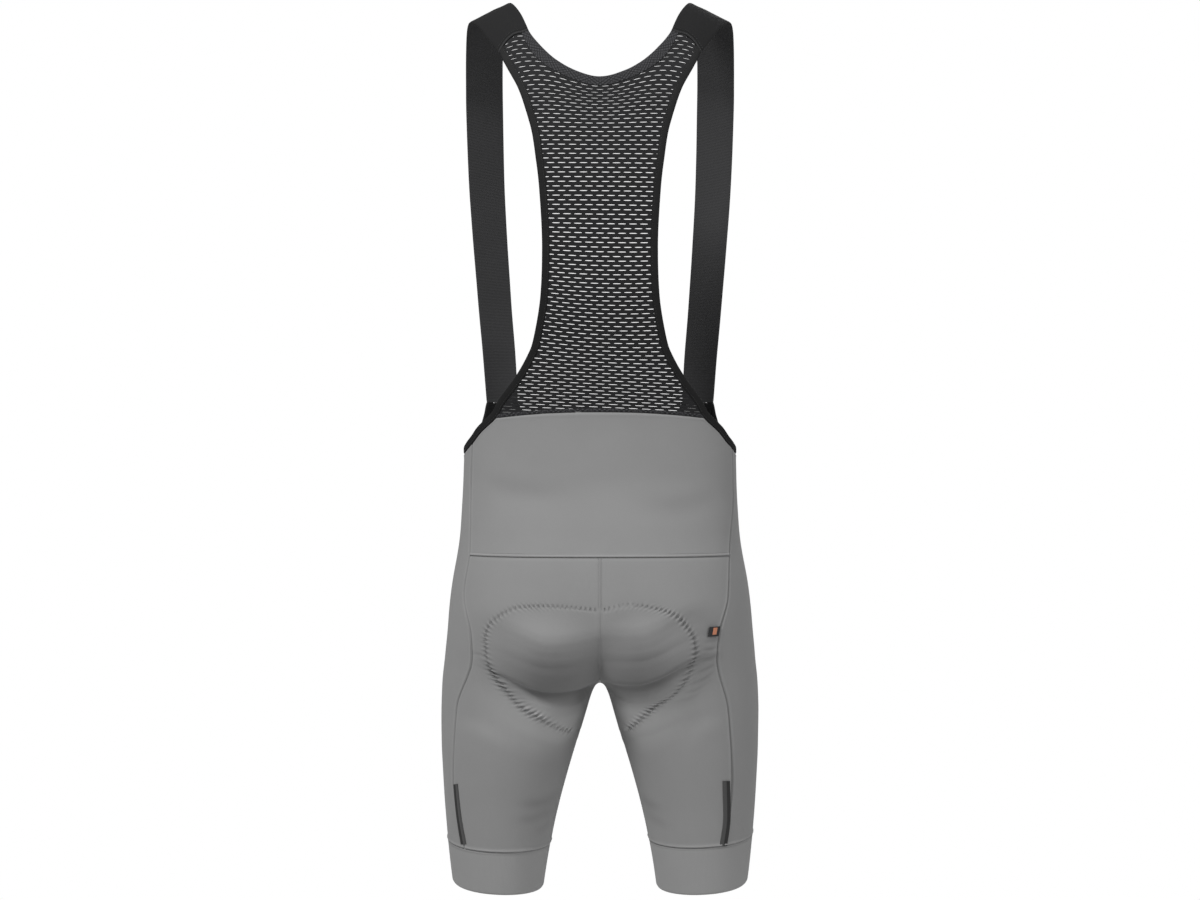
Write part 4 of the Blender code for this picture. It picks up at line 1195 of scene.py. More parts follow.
def make_front_binding():
    """The binding along the low front neckline, from strap to strap."""
    seam, free = neck_points(FRONT_NECK_SEAM, FRONT_NECK_EDGE, "front")
    return ribbon("neckline_fold", seam, free, BINDING_ACROSS, "binding_cloth",
                  "black_binding", "front_neck_binding")


def strap_grid(side, rows, across):
    """Points and normals over one strap, from its seam on the mesh to the front panel."""
    edges = np.array(STRAP) * np.array((side, 1, -1, side, 1, -1))
    outer = spline(edges[:, :3], rows)
    inner = spline(edges[:, 3:], rows)
    points = outer[:, None] * (1 - across[:, None]) + inner[:, None] * across[:, None]
    head = place(strap_seam(side, "back", across))
    foot = place(strap_seam(side, "front", across))
    fade = ease(rows + 1, STRAP_FADE * rows)[..., None]
    points = points + fade * (head - points[0]) + fade[::-1] * (foot - points[-1])
    normals = side * unit(np.cross(np.gradient(points, axis=1), np.gradient(points, axis=0)))
    head = outward(points[0])
    foot = outward(points[-1])
    close = np.clip(1 - np.arange(rows + 1) / 6.0, 0, 1)[:, None, None]
    normals = normals + close * (head - normals[0]) + close[::-1] * (foot - normals[-1])
    return points, unit(normals)


STRAP_ACROSS = np.array((0, 0.012, 0.035, 0.07, 0.12, 0.2, 0.3, 0.4, 0.5))
STRAP_ACROSS = np.concatenate((STRAP_ACROSS, 1 - STRAP_ACROSS[-2::-1]))


def make_strap(side, word):
    """One shoulder strap of wide elastic, sewn to the mesh behind and the panel in front."""
    points, normals = strap_grid(side, STRAP_STEPS, STRAP_ACROSS)
    run = lengths(points[:, len(STRAP_ACROSS) // 2])
    width = np.linalg.norm(points[:, -1] - points[:, 0], axis=1)[:, None]
    from_edge = np.minimum(STRAP_ACROSS, 1 - STRAP_ACROSS) * width
    head = hump(run, 0, 1.2)[:, None]
    foot = hump(run[-1] - run, 0, 1.2)[:, None]
    band = hump(run, 4.0, 1.0)[:, None] * 0.25
    lift = 0.25 - 0.45 * hump(from_edge, 0, 0.8) - 0.3 * head - 0.3 * foot - band
    bow = 0.3 + 0.7 * np.sin(np.pi * STRAP_ACROSS)
    lift = lift + 0.18 * np.sin(run / 11 + side)[:, None] * bow
    thickness = ELASTIC - 0.7 * hump(from_edge, 0, 0.7)
    uv = pairs(STRAP_ACROSS * width, -run[:, None])
    # Painted highlight and shade: a light line just past the strap's head seam, and a darker tone in
    # that seam's groove and in the dip beside it; the lining makes the inner face paler.
    shade = hump(run, 1.9, 0.8)[:, None] * 0.9 - 0.6 * head - 0.6 * band + 0 * STRAP_ACROSS
    made = shell("shoulder_strap_" + word, points, normals, lift, thickness, uv, shade=shade,
                 lining=1.0)
    return finish(made, "strap_elastic", "black_elastic", "strap_" + word)


def make_strap_tail(side, word):
    """The end of the strap, cut slanting and sewn flat to the inside of the front panel."""
    across = STRAP_ACROSS
    start = strap_seam(side, "front", across)
    out = np.abs(place(start)[:, 0])
    length = 0.8 + 15.0 * np.clip((out - 111.0) / 8.0, 0, 1)
    t = np.concatenate(([0.0, 0.04], np.linspace(0.1, 0.94, 19), [1.0]))[:, None]
    drops = 431 + t * length
    shares = start[:, 0] + (drops - 430) * side * 0.00006
    points = place(pairs(shares, drops))
    lift = -1.75 - 0.12 * np.sin(drops / 6)
    uv = pairs(across * 34, -drops)
    made = shell("strap_tail_" + word, points, outward(points), lift, 1.1, uv)
    return finish(made, "strap_elastic", "black_elastic")


# ---- node trees

def maths(operation, swapped=False):
    """A Python operator on values, which adds one Math node."""
    def apply(value, other):
        terms = (other, value) if swapped else (value, other)
        return value.tree.maths(operation, *terms)
    return apply


class Value:
    """One output of a node tree; sums and products on it add their Math nodes."""

    def __init__(self, tree, socket):
        self.tree = tree
        self.socket = socket

    __add__ = maths("ADD")
    __radd__ = maths("ADD", swapped=True)
    __sub__ = maths("SUBTRACT")
    __rsub__ = maths("SUBTRACT", swapped=True)
    __mul__ = maths("MULTIPLY")
    __rmul__ = maths("MULTIPLY", swapped=True)
    __truediv__ = maths("DIVIDE")
    __rtruediv__ = maths("DIVIDE", swapped=True)
    __gt__ = maths("GREATER_THAN")
    __lt__ = maths("LESS_THAN")
    __mod__ = maths("FLOORED_MODULO")


class Nodes:
    """Adds nodes to one tree."""

    def __init__(self, tree):
        self.tree = tree

    def node(self, kind, settings=None, inputs=None, output=0):
        """One node: its settings first, then its inputs' values or links."""
        made = self.tree.nodes.new(kind)
        for key, value in (settings or {}).items():
            setattr(made, key, value)
        for key, value in (inputs or {}).items():
            if isinstance(value, Value):
                self.tree.links.new(value.socket, made.inputs[key])
            else:
                made.inputs[key].default_value = value
        return Value(self, made.outputs[output])

    def maths(self, operation, *terms):
        """The result of one Math node."""
        return self.node("ShaderNodeMath", {"operation": operation}, dict(enumerate(terms)))

    def vector(self, operation, inputs, output=0):
        """The result of one Vector Math node."""
        return self.node("ShaderNodeVectorMath", {"operation": operation}, inputs, output)

    def wave(self, value, length, shift=0.0):
        """Even waves of a length, in metres, along a value."""
        angle = value * (TURN / length)
        return self.maths("SINE", angle + shift if shift else angle)

    def pick(self, vector):
        """The three parts of a vector."""
        made = self.node("ShaderNodeSeparateXYZ", inputs={0: vector})
        return [Value(self, socket) for socket in made.socket.node.outputs]


class Paint(Nodes):
    """One material: its nodes, and the shader that they feed."""

    def __init__(self, name, roughness, **constants):
        self.material = bpy.data.materials.new(name)
        self.material.use_nodes = True
        super().__init__(self.material.node_tree)
        self.shader = self.tree.nodes["Principled BSDF"]
        self.shader.inputs["Roughness"].default_value = roughness
        for key, value in constants.items():
            key = key.replace("_", " ").title().replace("Ior", "IOR")
            self.shader.inputs[key].default_value = value

    def cloth(self):
        """Places round and down the cloth, in metres."""
        return self.pick(self.node("ShaderNodeUVMap", {"uv_map": "cloth"}))[:2]

    def solid(self):
        """Places in the object's own space."""
        return self.node("ShaderNodeTexCoord", output=3)

    def shade(self):
        """The shade painted on the piece: painted shade in the cloth's grooves and folds, painted
        highlight on its ridges, and the paler inner face of some pieces.
        """
        return self.node("ShaderNodeAttribute", {"attribute_name": "shade"}, output=2)

    def noise(self, where, scale, detail=2.0):
        """Even noise from 0 to 1."""
        inputs = {"Vector": where, "Scale": scale, "Detail": detail}
        return self.node("ShaderNodeTexNoise", inputs=inputs)

    def tint(self, colour, tone):
        """Gives the surface a colour made lighter or darker by a varying tone."""
        self.feed("Base Color", self.vector("SCALE", {0: colour, "Scale": tone}))

    def mix(self, factor, first, second):
        """One colour running into another."""
        settings = {"data_type": "RGBA"}
        inputs = {0: factor, 6: (*first, 1.0), 7: (*second, 1.0)}
        return self.node("ShaderNodeMix", settings, inputs, 2)

    def feed(self, socket, value):
        """Links a value to the shader."""
        self.tree.links.new(value.socket, self.shader.inputs[socket])

    def bump(self, height, distance, strength=1.0):
        """Low relief from a height of 0 to 1, in metres."""
        inputs = {"Height": height, "Distance": distance, "Strength": strength}
        self.feed("Normal", self.node("ShaderNodeBump", inputs=inputs))


def knit_look(name, colour):
    """Matt knit with fine wales, a heathered yarn, and painted shade in its folds and seams with
    painted highlight on their ridges.
    """
    paint = Paint(name, 0.78, sheen_weight=0.08, sheen_roughness=0.5)
    across, down = paint.cloth()
    where = paint.solid()
    yarn = paint.noise(where, 1500.0)
    broad = paint.noise(where, 22.0)
    # The shade adds painted shade in folds, seams and creases, painted highlight on ridges, and a paler
    # inner face.
    paint.tint(colour, 0.89 + yarn * 0.14 + broad * 0.08 + paint.shade() * 0.2)
    wale = paint.wave(across, 0.0011)
    loop = paint.wave(down, 0.0008, wale * 1.2)
    paint.bump(0.5 + wale * 0.22 + loop * 0.16 + yarn * 0.3, 0.00022, 0.6)
    paint.feed("Roughness", 0.72 + yarn * 0.12)
    return paint.material


def band_look(name, colour):
    """Elastic knit of the leg bands, with fine level ribs."""
    paint = Paint(name, 0.7, sheen_weight=0.06, sheen_roughness=0.5)
    across, down = paint.cloth()
    where = paint.solid()
    yarn = paint.noise(where, 1300.0)
    rib = paint.wave(across, 0.0016)
    tone = 0.90 + yarn * 0.12 + paint.noise(where, 20.0) * 0.06 + rib * 0.02
    # The shade adds the painted shade and highlight of the band's grooves and ridges.
    paint.tint(colour, tone + paint.shade() * 0.2)
    fine = paint.wave(down, 0.0009)
    paint.bump(0.5 + rib * 0.35 + fine * 0.1 + yarn * 0.2, 0.00028, 0.6)
    return paint.material


def mesh_look(name, colour):
    """Black open knit: dull ground with pin holes between its eyelets."""
    paint = Paint(name, 0.9, specular_ior_level=0.15)
    across, down = paint.cloth()
    where = paint.solid()
    dots = paint.wave(across, 0.0024) * paint.wave(down, 0.0019)
    speck = (dots > 0.72) * 0.9
    yarn = paint.noise(where, 1600.0)
    paint.tint(colour, 0.75 + yarn * 0.5 + speck)
    paint.bump(0.5 + dots * 0.3 + yarn * 0.3, 0.0003, 0.7)
    return paint.material


def hem_look(name, colour):
    """The mesh turned double at its hem, mottled where its holes cross."""
    paint = Paint(name, 0.9, specular_ior_level=0.15)
    across, down = paint.cloth()
    where = paint.solid()
    first = paint.wave(across, 0.0057) * paint.wave(down, 0.0041)
    second = paint.wave(across, 0.0046, 1.1) * paint.wave(down, 0.0033)
    cloud = paint.noise(where, 420.0)
    mottle = (first > 0.25) * 0.8 + (second > 0.3) * 0.7 + cloud * 0.9
    paint.tint(colour, 0.25 + mottle)
    paint.bump(0.5 + first * 0.25 + second * 0.2 + cloud * 0.2, 0.0004, 0.7)
    return paint.material


def elastic_look(name, colour):
    """Woven elastic of the straps, with fine level ribs and a plain selvedge."""
    paint = Paint(name, 0.8, specular_ior_level=0.15)
    across, down = paint.cloth()
    where = paint.solid()
    rib = paint.wave(down, 0.0017)
    cord = paint.wave(across, 0.0012)
    yarn = paint.noise(where, 1500.0)
    weave = yarn * 0.3 + rib * 0.08 + cord * 0.04
    # The shade adds the painted highlight and shade at the strap's head seam; its lining pales the
    # inner face.
    paint.tint(colour, 0.78 + weave + paint.shade() * 2.4)
    paint.bump(0.5 + rib * 0.3 + cord * 0.15 + yarn * 0.15, 0.00035, 0.7)
    return paint.material


def binding_look(name, colour):
    """Smooth folded binding, a little slick."""
    paint = Paint(name, 0.7, specular_ior_level=0.2)
    across, down = paint.cloth()
    yarn = paint.noise(paint.solid(), 1500.0)
    wale = paint.wave(down, 0.0010)
    pull = paint.wave(across, 0.0062)
    paint.tint(colour, 0.8 + yarn * 0.4 + wale * 0.05)
    paint.bump(0.5 + wale * 0.2 + yarn * 0.2 + pull * 0.1, 0.0003, 0.7)
    return paint.material


def tape_look(name, dark, pale):
    """The side tapes: a paler stripe towards the front and a dark one behind."""
    paint = Paint(name, 0.42, sheen_weight=0.05)
    across, down = paint.cloth()
    grain = paint.noise(paint.solid(), 1200.0)
    colour = paint.mix(across > 0.0, dark, pale)
    paint.tint(colour, 0.85 + grain * 0.3)
    edge = paint.wave(down, 0.0012)
    paint.bump(0.5 + edge * 0.2 + grain * 0.2, 0.0002, 0.6)
    return paint.material


def label_look(name, ground, bar_colour):
    """The woven label: black satin with one plain orange bar."""
    paint = Paint(name, 0.6, sheen_weight=0.1)
    across, down = paint.cloth()
    bar = (across > 0.0040) * (across < 0.0083) * (down > 0.0018) * (down < 0.0090)
    weave = paint.wave(across, 0.0006) * paint.wave(down, 0.0006)
    colour = paint.mix(bar, ground, bar_colour)
    paint.tint(colour, 0.92 + weave * 0.12)
    paint.bump(0.5 + weave * 0.3 + bar * 0.4, 0.0002, 0.7)
    return paint.material


def pad_look(name, colour):
    """Brushed cover of the seat pad, with a fine pin dot."""
    paint = Paint(name, 0.92, sheen_weight=0.3, sheen_roughness=0.6)
    across, down = paint.cloth()
    pins = paint.wave(across, 0.0045) * paint.wave(down, 0.0045)
    nap = paint.noise(paint.solid(), 900.0)
    paint.tint(colour, 0.75 + nap * 0.4 - (pins > 0.6) * 0.25)
    paint.bump(0.5 - pins * 0.2 + nap * 0.3, 0.0004, 0.7)
    return paint.material


def thread_look(name, colour):
    """Sewing thread, twisted and slightly bright."""
    paint = Paint(name, 0.55, sheen_weight=0.1)
    twist = paint.noise(paint.solid(), 2200.0)
    paint.tint(colour, 0.8 + twist * 0.4)
    paint.bump(twist, 0.0001, 0.5)
    return paint.material


# What makes each finish, and the panel's colours that it takes.
LOOKS = {
    "heather_knit": (knit_look, "knit"), "grey_band": (band_look, "band"),
    "mesh_cloth": (mesh_look, "mesh"), "mesh_hem": (hem_look, "hem"),
    "strap_elastic": (elastic_look, "elastic"), "binding_cloth": (binding_look, "binding"),
    "side_tape": (tape_look, "tape_dark", "tape_pale"), "pad_cover": (pad_look, "pad"),
    "woven_label": (label_look, "label", "label_bar"), "grey_thread": (thread_look, "grey_thread"),
    "black_thread": (thread_look, "black_thread"),
}


def look(name):
    """The material of one finish, made the first time that it is asked for."""
    existing = bpy.data.materials.get(name)
    if existing:
        return existing
    make, *colours = LOOKS[name]
    return make(name, *(getattr(bpy.context.scene.shorts_colours, key) for key in colours))


def finish(made, finish_name, slot, *nodes):
    """Gives a piece its finish, hangs it on the root body, and hides the CAD nodes that it stands for.
    """
    if not made.data.materials:
        made.data.materials.append(look(finish_name))
    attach(made, "root")
    if nodes:
        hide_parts(*nodes)
    return made


# ---- sewing

# The kinds of the inputs that aren't plain numbers.
SOCKETS = {"Geometry": "NodeSocketGeometry", "Material": "NodeSocketMaterial",
           "Tile": "NodeSocketObject", "Columns": "NodeSocketInt", "Rows": "NodeSocketInt"}


class Pattern(Nodes):
    """A Geometry Nodes tree with named inputs, ending in realized, finished geometry."""

    def __init__(self, name, *inputs):
        tree = bpy.data.node_groups.new(name, "GeometryNodeTree")
        super().__init__(tree)
        tree.is_modifier = True
        new_socket = tree.interface.new_socket
        new_socket("Geometry", in_out="OUTPUT", socket_type="NodeSocketGeometry")
        self.sockets = {}
        for key in ("Geometry", "Material", *inputs):
            kind = SOCKETS.get(key, "NodeSocketFloat")
            self.sockets[key] = new_socket(key, in_out="INPUT", socket_type=kind).identifier
        self.entry = tree.nodes.new("NodeGroupInput")

    def given(self, name):
        """The value of one named input."""
        return Value(self, self.entry.outputs[name])

    def close(self, shape):
        """Ends the tree with real geometry that carries its material."""
        real = self.node("GeometryNodeRealizeInstances", inputs={0: shape})
        last = self.node("GeometryNodeSetMaterial",
                         inputs={"Geometry": real, "Material": self.given("Material")})
        way_out = self.tree.nodes.new("NodeGroupOutput")
        self.tree.links.new(last.socket, way_out.inputs[0])
        return self

    def run(self, name, source, **values):
        """A plain mesh of what the tree makes of a source object."""
        modifier = source.modifiers.new(name, "NODES")
        modifier.node_group = self.tree
        for key, value in values.items():
            modifier[self.sockets[key]] = value
        bpy.context.view_layer.update()
        graph = bpy.context.evaluated_depsgraph_get()
        mesh = bpy.data.meshes.new_from_object(source.evaluated_get(graph))
        source.modifiers.remove(modifier)
        bpy.data.objects.remove(source, do_unlink=True)
        mesh.name = name
        return mesh


@cache
def stitch_pattern():
    """Separate stitches along a path."""
    tree = Pattern("Stitches", "Pitch", "Stitch", "Thread")
    curve = tree.node("GeometryNodeMeshToCurve", inputs={0: tree.given("Geometry")})
    spaced = tree.node("GeometryNodeResampleCurve", {"mode": "LENGTH"},
                       {"Curve": curve, "Length": tree.given("Pitch")})
    tangent = tree.node("GeometryNodeInputTangent")
    turn = tree.node("FunctionNodeAlignRotationToVector", {"axis": "Z"}, {"Vector": tangent})
    bead = tree.node("GeometryNodeMeshUVSphere", inputs={"Segments": 5, "Rings": 4, "Radius": 0.5})
    size = tree.node("ShaderNodeCombineXYZ", inputs={
        0: tree.given("Thread"), 1: tree.given("Thread"), 2: tree.given("Stitch")})
    shape = tree.node("GeometryNodeInstanceOnPoints",
                      inputs={"Points": spaced, "Instance": bead, "Rotation": turn, "Scale": size})
    return tree.close(shape)


@cache
def zigzag_pattern():
    """One thread that swings from side to side of a path, square to the cloth."""
    tree = Pattern("Zigzag", "Pitch", "Width", "Thread")
    curve = tree.node("GeometryNodeMeshToCurve", inputs={0: tree.given("Geometry")})
    spaced = tree.node("GeometryNodeResampleCurve", {"mode": "LENGTH"},
                       {"Curve": curve, "Length": tree.given("Pitch") * 0.5})
    up = tree.node("GeometryNodeInputNamedAttribute", {"data_type": "FLOAT_VECTOR"},
                   {"Name": "up"})
    tangent = tree.node("GeometryNodeInputTangent")
    square = tree.vector("NORMALIZE", {0: tree.vector("CROSS_PRODUCT", {0: tangent, 1: up})})
    count = tree.node("GeometryNodeInputIndex")
    swing = ((count % 2.0) - 0.5) * tree.given("Width")
    shift = tree.vector("SCALE", {0: square, "Scale": swing})
    swung = tree.node("GeometryNodeSetPosition", inputs={"Geometry": spaced, "Offset": shift})
    ring = tree.node("GeometryNodeCurvePrimitiveCircle",
                     inputs={"Resolution": 5, "Radius": tree.given("Thread") * 0.5})
    shape = tree.node("GeometryNodeCurveToMesh",
                      inputs={"Curve": swung, "Profile Curve": ring, "Fill Caps": True})
    return tree.close(shape)


def thread_path(name, lines):
    """An object of paths in millimetres, with the cloth's direction on each point."""
    points = np.vstack([line for line, _ in lines]) * MM
    ups = np.vstack([up for _, up in lines])
    edges = []
    start = 0
    for line, _ in lines:
        edges += [(start + k, start + k + 1) for k in range(len(line) - 1)]
        start += len(line)
    mesh = bpy.data.meshes.new(name)
    mesh.from_pydata([tuple(point) for point in points], edges, [])
    layer = mesh.attributes.new("up", "FLOAT_VECTOR", "POINT")
    layer.data.foreach_set("vector", ups.astype(np.float32).ravel())
    return link(name + "_path", mesh)


def on_cloth(line, lift):
    """A line on the form raised by lift, with the cloth's directions."""
    up = outward(line)
    return line + up * (lift + fold_relief(line))[..., None], up


def sew(pattern, name, lines, thread, slot, **sizes):
    """Sews along each line in the way of a pattern."""
    thickness = bpy.context.scene.shorts_sizes.thread
    mesh = pattern().run(name, thread_path(name, lines), Material=look(thread), Thread=thickness,
                         **sizes)
    mesh.shade_smooth()
    return finish(link(name, mesh), thread, slot)


def sew_stitches(name, lines, thread, slot):
    """A row of separate stitches along each line."""
    sizes = bpy.context.scene.shorts_sizes
    sew(stitch_pattern, name, lines, thread, slot, Pitch=sizes.stitch_pitch,
        Stitch=sizes.stitch_length)


# ---- the open mesh

def eyelet_tile(length, height):
    """One cell of the mesh, a flat ring of quads round a lens-shaped eyelet."""
    half = length / 2
    outer = [(0.5, 0.0), (0.5, 0.5), (0.25, 0.5), (0.0, 0.5), (-0.25, 0.5), (-0.5, 0.5)]
    inner = [(1.0, 0.0), (0.85, 0.66), (0.45, 0.94), (0.0, 1.0), (-0.45, 0.94), (-0.85, 0.66)]
    points = [(x * way, y * way, 0.0) for way in (1, -1) for x, y in outer]
    points += [(x * way * half, y * way * height / 2, 1.0) for way in (1, -1) for x, y in inner]
    faces = [(k, (k + 1) % 12, 12 + (k + 1) % 12, 12 + k) for k in range(12)]
    mesh = bpy.data.meshes.new("eyelet")
    mesh.from_pydata(points, [], faces)
    return link("eyelet", mesh)


def brick_pattern():
    """Tiles set out in rows, every other row shifted by half a tile."""
    tree = Pattern("Eyelets", "Tile", "Columns", "Rows")
    columns = tree.given("Columns")
    rows = tree.given("Rows")
    grid = tree.node("GeometryNodeMeshGrid", inputs={
        "Size X": columns - 1.0, "Size Y": rows - 1.0, "Vertices X": columns, "Vertices Y": rows})
    place_y = tree.pick(tree.node("GeometryNodeInputPosition"))[1]
    number = place_y + (rows - 1.0) * 0.5
    odd = (number + 0.25) % 2.0 > 1.0
    shift = tree.node("ShaderNodeCombineXYZ", inputs={0: 0.5 - odd * 0.5})
    bricks = tree.node("GeometryNodeSetPosition", inputs={"Geometry": grid, "Offset": shift})
    tile = tree.node("GeometryNodeObjectInfo", inputs={"Object": tree.given("Tile")}, output=4)
    tiles = tree.node("GeometryNodeInstanceOnPoints", inputs={"Points": bricks, "Instance": tile})
    real = tree.node("GeometryNodeRealizeInstances", inputs={0: tiles})
    joined = tree.node("GeometryNodeMergeByDistance", inputs={"Geometry": real, "Distance": 0.01})
    return tree.close(joined)


def plan(points):
    """Distances out and down of points, as seen from straight behind."""
    return pairs(points[..., 0], -points[..., 2])


def mesh_outline():
    """The mesh's outline in plan, with how far its cloth runs on under each edge."""
    lines = []
    t = np.linspace(0.8, 0.2, 24)
    neck = place(neck_line(BACK_NECK_SEAM, "back", 240))
    lines.append((plan(neck), MESH_TUCK))
    lines.append((plan(place(strap_seam(-1, "back", t))), 0.1))
    lines.append((plan(place(armhole(-1)["mesh"])), MESH_TUCK))
    shares = np.linspace(armhole(-1)["yoke"][0, 0], armhole(1)["yoke"][0, 0], 200)
    lines.append((plan(place(pairs(shares, mesh_seam(shares)))), 0.1))
    lines.append((plan(place(armhole(1)["mesh"][::-1])), MESH_TUCK))
    lines.append((plan(place(strap_seam(1, "back", t[::-1]))), 0.1))
    outline = np.vstack([line for line, _ in lines])
    tuck = np.concatenate([np.full(len(line), reach) for line, reach in lines])
    return outline, tuck


def pull_to_outline(flat, outline, tuck):
    """Moves points that are too far outside an outline onto its tucked edge."""
    x, y = flat.T
    inside = np.zeros(len(flat), bool)
    for (x_a, y_a), (x_b, y_b) in zip(outline, np.roll(outline, -1, axis=0)):
        straddles = (y_a > y) != (y_b > y)
        if straddles.any():
            inside ^= straddles & (x < x_a + (y - y_a) / (y_b - y_a) * (x_b - x_a))
    k, far = nearest_on(outline, flat)
    beyond = ~inside & (far > tuck[k])
    moved = outline[k] + (flat - outline[k]) * (tuck[k] / np.maximum(far, 1e-9))[:, None]
    return np.where(beyond[:, None], moved, flat), beyond


def read_array(items, key, width, kind):
    """One property of all of a mesh's items, as an array of rows."""
    values = np.empty(len(items) * width, kind)
    items.foreach_get(key, values)
    return values.reshape(-1, width)


def eyelet_cells(length, height, count):
    """A count of rows of cells laid flat, as places with their rims marked, and their quads."""
    source = link("eyelets", bpy.data.meshes.new("eyelets"))
    tile = eyelet_tile(length, height)
    flat = brick_pattern().run("eyelets", source, Material=look("mesh_cloth"), Tile=tile,
                               Columns=MESH_COLUMNS, Rows=count)
    bpy.data.objects.remove(tile, do_unlink=True)
    cells = read_array(flat.vertices, "co", 3, float)
    return cells, read_array(flat.loops, "vertex_index", 1, int).reshape(-1, 4)


def hang_cells(row, across):
    """Places out and down of cells, from their running rows and their count across."""
    pitch, lean, sag = sections(MESH_ROWS, row, "pitch", "lean", "sag", stop="row")
    drop, arch, apex = sections(MESH_ROWS, row, "drop", "arch", "apex", stop="row")
    x = across * pitch
    drop = drop - lean * x - sag * x * x
    drop = drop - arch * np.sin(np.pi / 2 * np.clip(np.abs(x) / apex, 0, 1.25)) ** 2
    return pairs(x, drop)


def lone_walls(quads, size):
    """Walls under the edges that one quad alone has, down to the same sheet size places on."""
    starts = quads.ravel()
    ends = np.roll(quads, -1, axis=1).ravel()
    lone = ~np.isin(starts * size + ends, ends * size + starts)
    return np.stack((ends[lone], starts[lone], starts[lone] + size, ends[lone] + size), axis=1)


def make_mesh(eyelet_length, eyelet_height):
    """The open racerback mesh: the back and the two arms that reach the straps."""
    first = MESH_ROWS[0].row
    count = MESH_ROWS[-1].row - first + 1
    cells, quads = eyelet_cells(eyelet_length, eyelet_height, count)
    spots = hang_cells(first + cells[:, 1] + (count - 1) / 2, cells[:, 0])
    spots, beyond = pull_to_outline(spots, *mesh_outline())
    quads = quads[~beyond[quads].all(axis=1)]
    used, quads = np.unique(quads, return_inverse=True)
    quads = quads.reshape(-1, 4)
    spots = spots[used]
    rim = RIM_SINK * cells[used, 2]
    points = on_face(spots[:, 0], spots[:, 1])
    normals = outward(points)
    outer = points - normals * (NET_DEPTH + rim)[:, None]
    inner = points - normals * (NET + NET_DEPTH - rim)[:, None]
    corner = points[quads]
    turn = np.cross(corner[:, 1] - corner[:, 0], corner[:, 3] - corner[:, 0])
    if (turn * normals[quads[:, 0]]).sum() < 0:
        quads = quads[:, ::-1]
    size = len(points)
    quads = np.concatenate((quads, quads[:, ::-1] + size, lone_walls(quads, size)))
    uv = np.tile(spots * np.array((1, -1)), (2, 1))[quads.ravel()]
    mesh = quad_mesh("open_mesh", np.concatenate((outer, inner)), quads, uv, np.zeros(2 * size))
    mesh.set_sharp_from_angle(angle=np.radians(50))
    return finish(link("open_mesh", mesh), "mesh_cloth", "black_mesh", "back_mesh")


def make_mesh_fold():
    """The folded edge of the mesh that shows above the yoke's seam."""
    ends = armhole(1)["yoke"][0, 0], armhole(-1)["yoke"][0, 0]
    shares = np.linspace(ends[0], ends[1], 160)
    seam, free = (place(pairs(shares, mesh_seam(shares) - above)) for above in (0.15, 3.6))
    across = np.array(((0, -0.3, -0.9), (0.15, 0.0, -1.3), (0.5, 0.12, -1.4),
                       (0.85, -0.05, -1.3), (1, -0.4, -1.0)))
    return ribbon("mesh_fold", seam, free, across, "mesh_hem", "black_mesh")


# ---- pad, tapes and label

# The pad's plan as it lies inside: its distances from the middle, behind and in front.
PAD = table(
    "drop left right front",
    (646, 84, 62, 24), (655, 103, 79, 34), (665, 114, 89, 40), (684, 119, 98.5, 46),
    (701, 117, 95.5, 48), (714, 113, 89.5, 48), (731, 100, 75, 46), (755, 75, 52, 40),
    (773, 45, 33, 28),
)
PAD_EDGE = 2.5
PAD_MIDDLE = 8.0
PAD_GAP = 2.6
PAD_CROTCH_GAP = 5.0
PAD_CROTCH_REACH = 150.0


def pad_quarter(side, face, rows, across):
    """Spots of one quarter of the pad, its middle line first."""
    name = "left" if side > 0 else "right"
    drops = leg_drop(side, rows, 0.0)
    drops[0] = PAD[0].drop
    drops[-1] = PAD[-1].drop
    out = section(PAD, name if face == "back" else "front", drops)
    edge = np.abs(spot(out, drops, face)[:, 0])
    middle = 0.0 if face == "back" else 1.0
    shares = middle + (edge[:, None] - middle) * across
    drop = np.broadcast_to(drops[:, None], shares.shape)
    return pairs(side * shares, drop)


def weld(grids, reach=0.05):
    """Joins the borders of grids of points: the points kept, and the grids' faces."""
    points = np.vstack([grid.reshape(-1, 3) for grid in grids])
    faces = []
    rim = []
    base = 0
    for grid in grids:
        rows, columns = grid.shape[:2]
        number = base + np.arange(rows * columns).reshape(rows, columns)
        faces.append(grid_quads(rows, columns) + base)
        rim += [number[0], number[-1], number[:, 0], number[:, -1]]
        base += rows * columns
    rim = np.unique(np.concatenate(rim))
    gap = np.linalg.norm(points[rim][:, None] - points[rim][None], axis=2)
    same = np.arange(len(points))
    same[rim] = rim[(gap < reach).argmax(axis=1)]
    used = np.unique(same)
    return used, np.searchsorted(used, same)[np.vstack(faces)]


def pad_sheet():
    """The pad's quarters welded: points, how full the pad is there, UVs and quads."""
    rows = np.linspace(CROTCH_ROW - 8, CROTCH_ROW + 5, 66)
    across = np.linspace(0, 1, 30)
    down = np.linspace(0, 1, len(rows))[:, None]
    ends = np.clip(np.minimum(down, 1 - down) * 5.0, 0, 1)
    groove = hump(across, 0.42, 0.035) + hump(across, 0.0, 0.03)
    full = eased(np.clip((1 - across) * 2.2, 0, 1) * ends) - 0.34 * groove * ends
    quarters = [pad_quarter(side, face, rows, across)
                for side, _ in SIDES for face in ("back", "front")]
    grids = [place(spots) for spots in quarters]
    used, quads = weld(grids)
    points = np.vstack([grid.reshape(-1, 3) for grid in grids])[used]
    uv = np.vstack([cloth_uv(spots).reshape(-1, 2) for spots in quarters])[used]
    return points, np.tile(full.ravel(), len(grids))[used], uv, quads


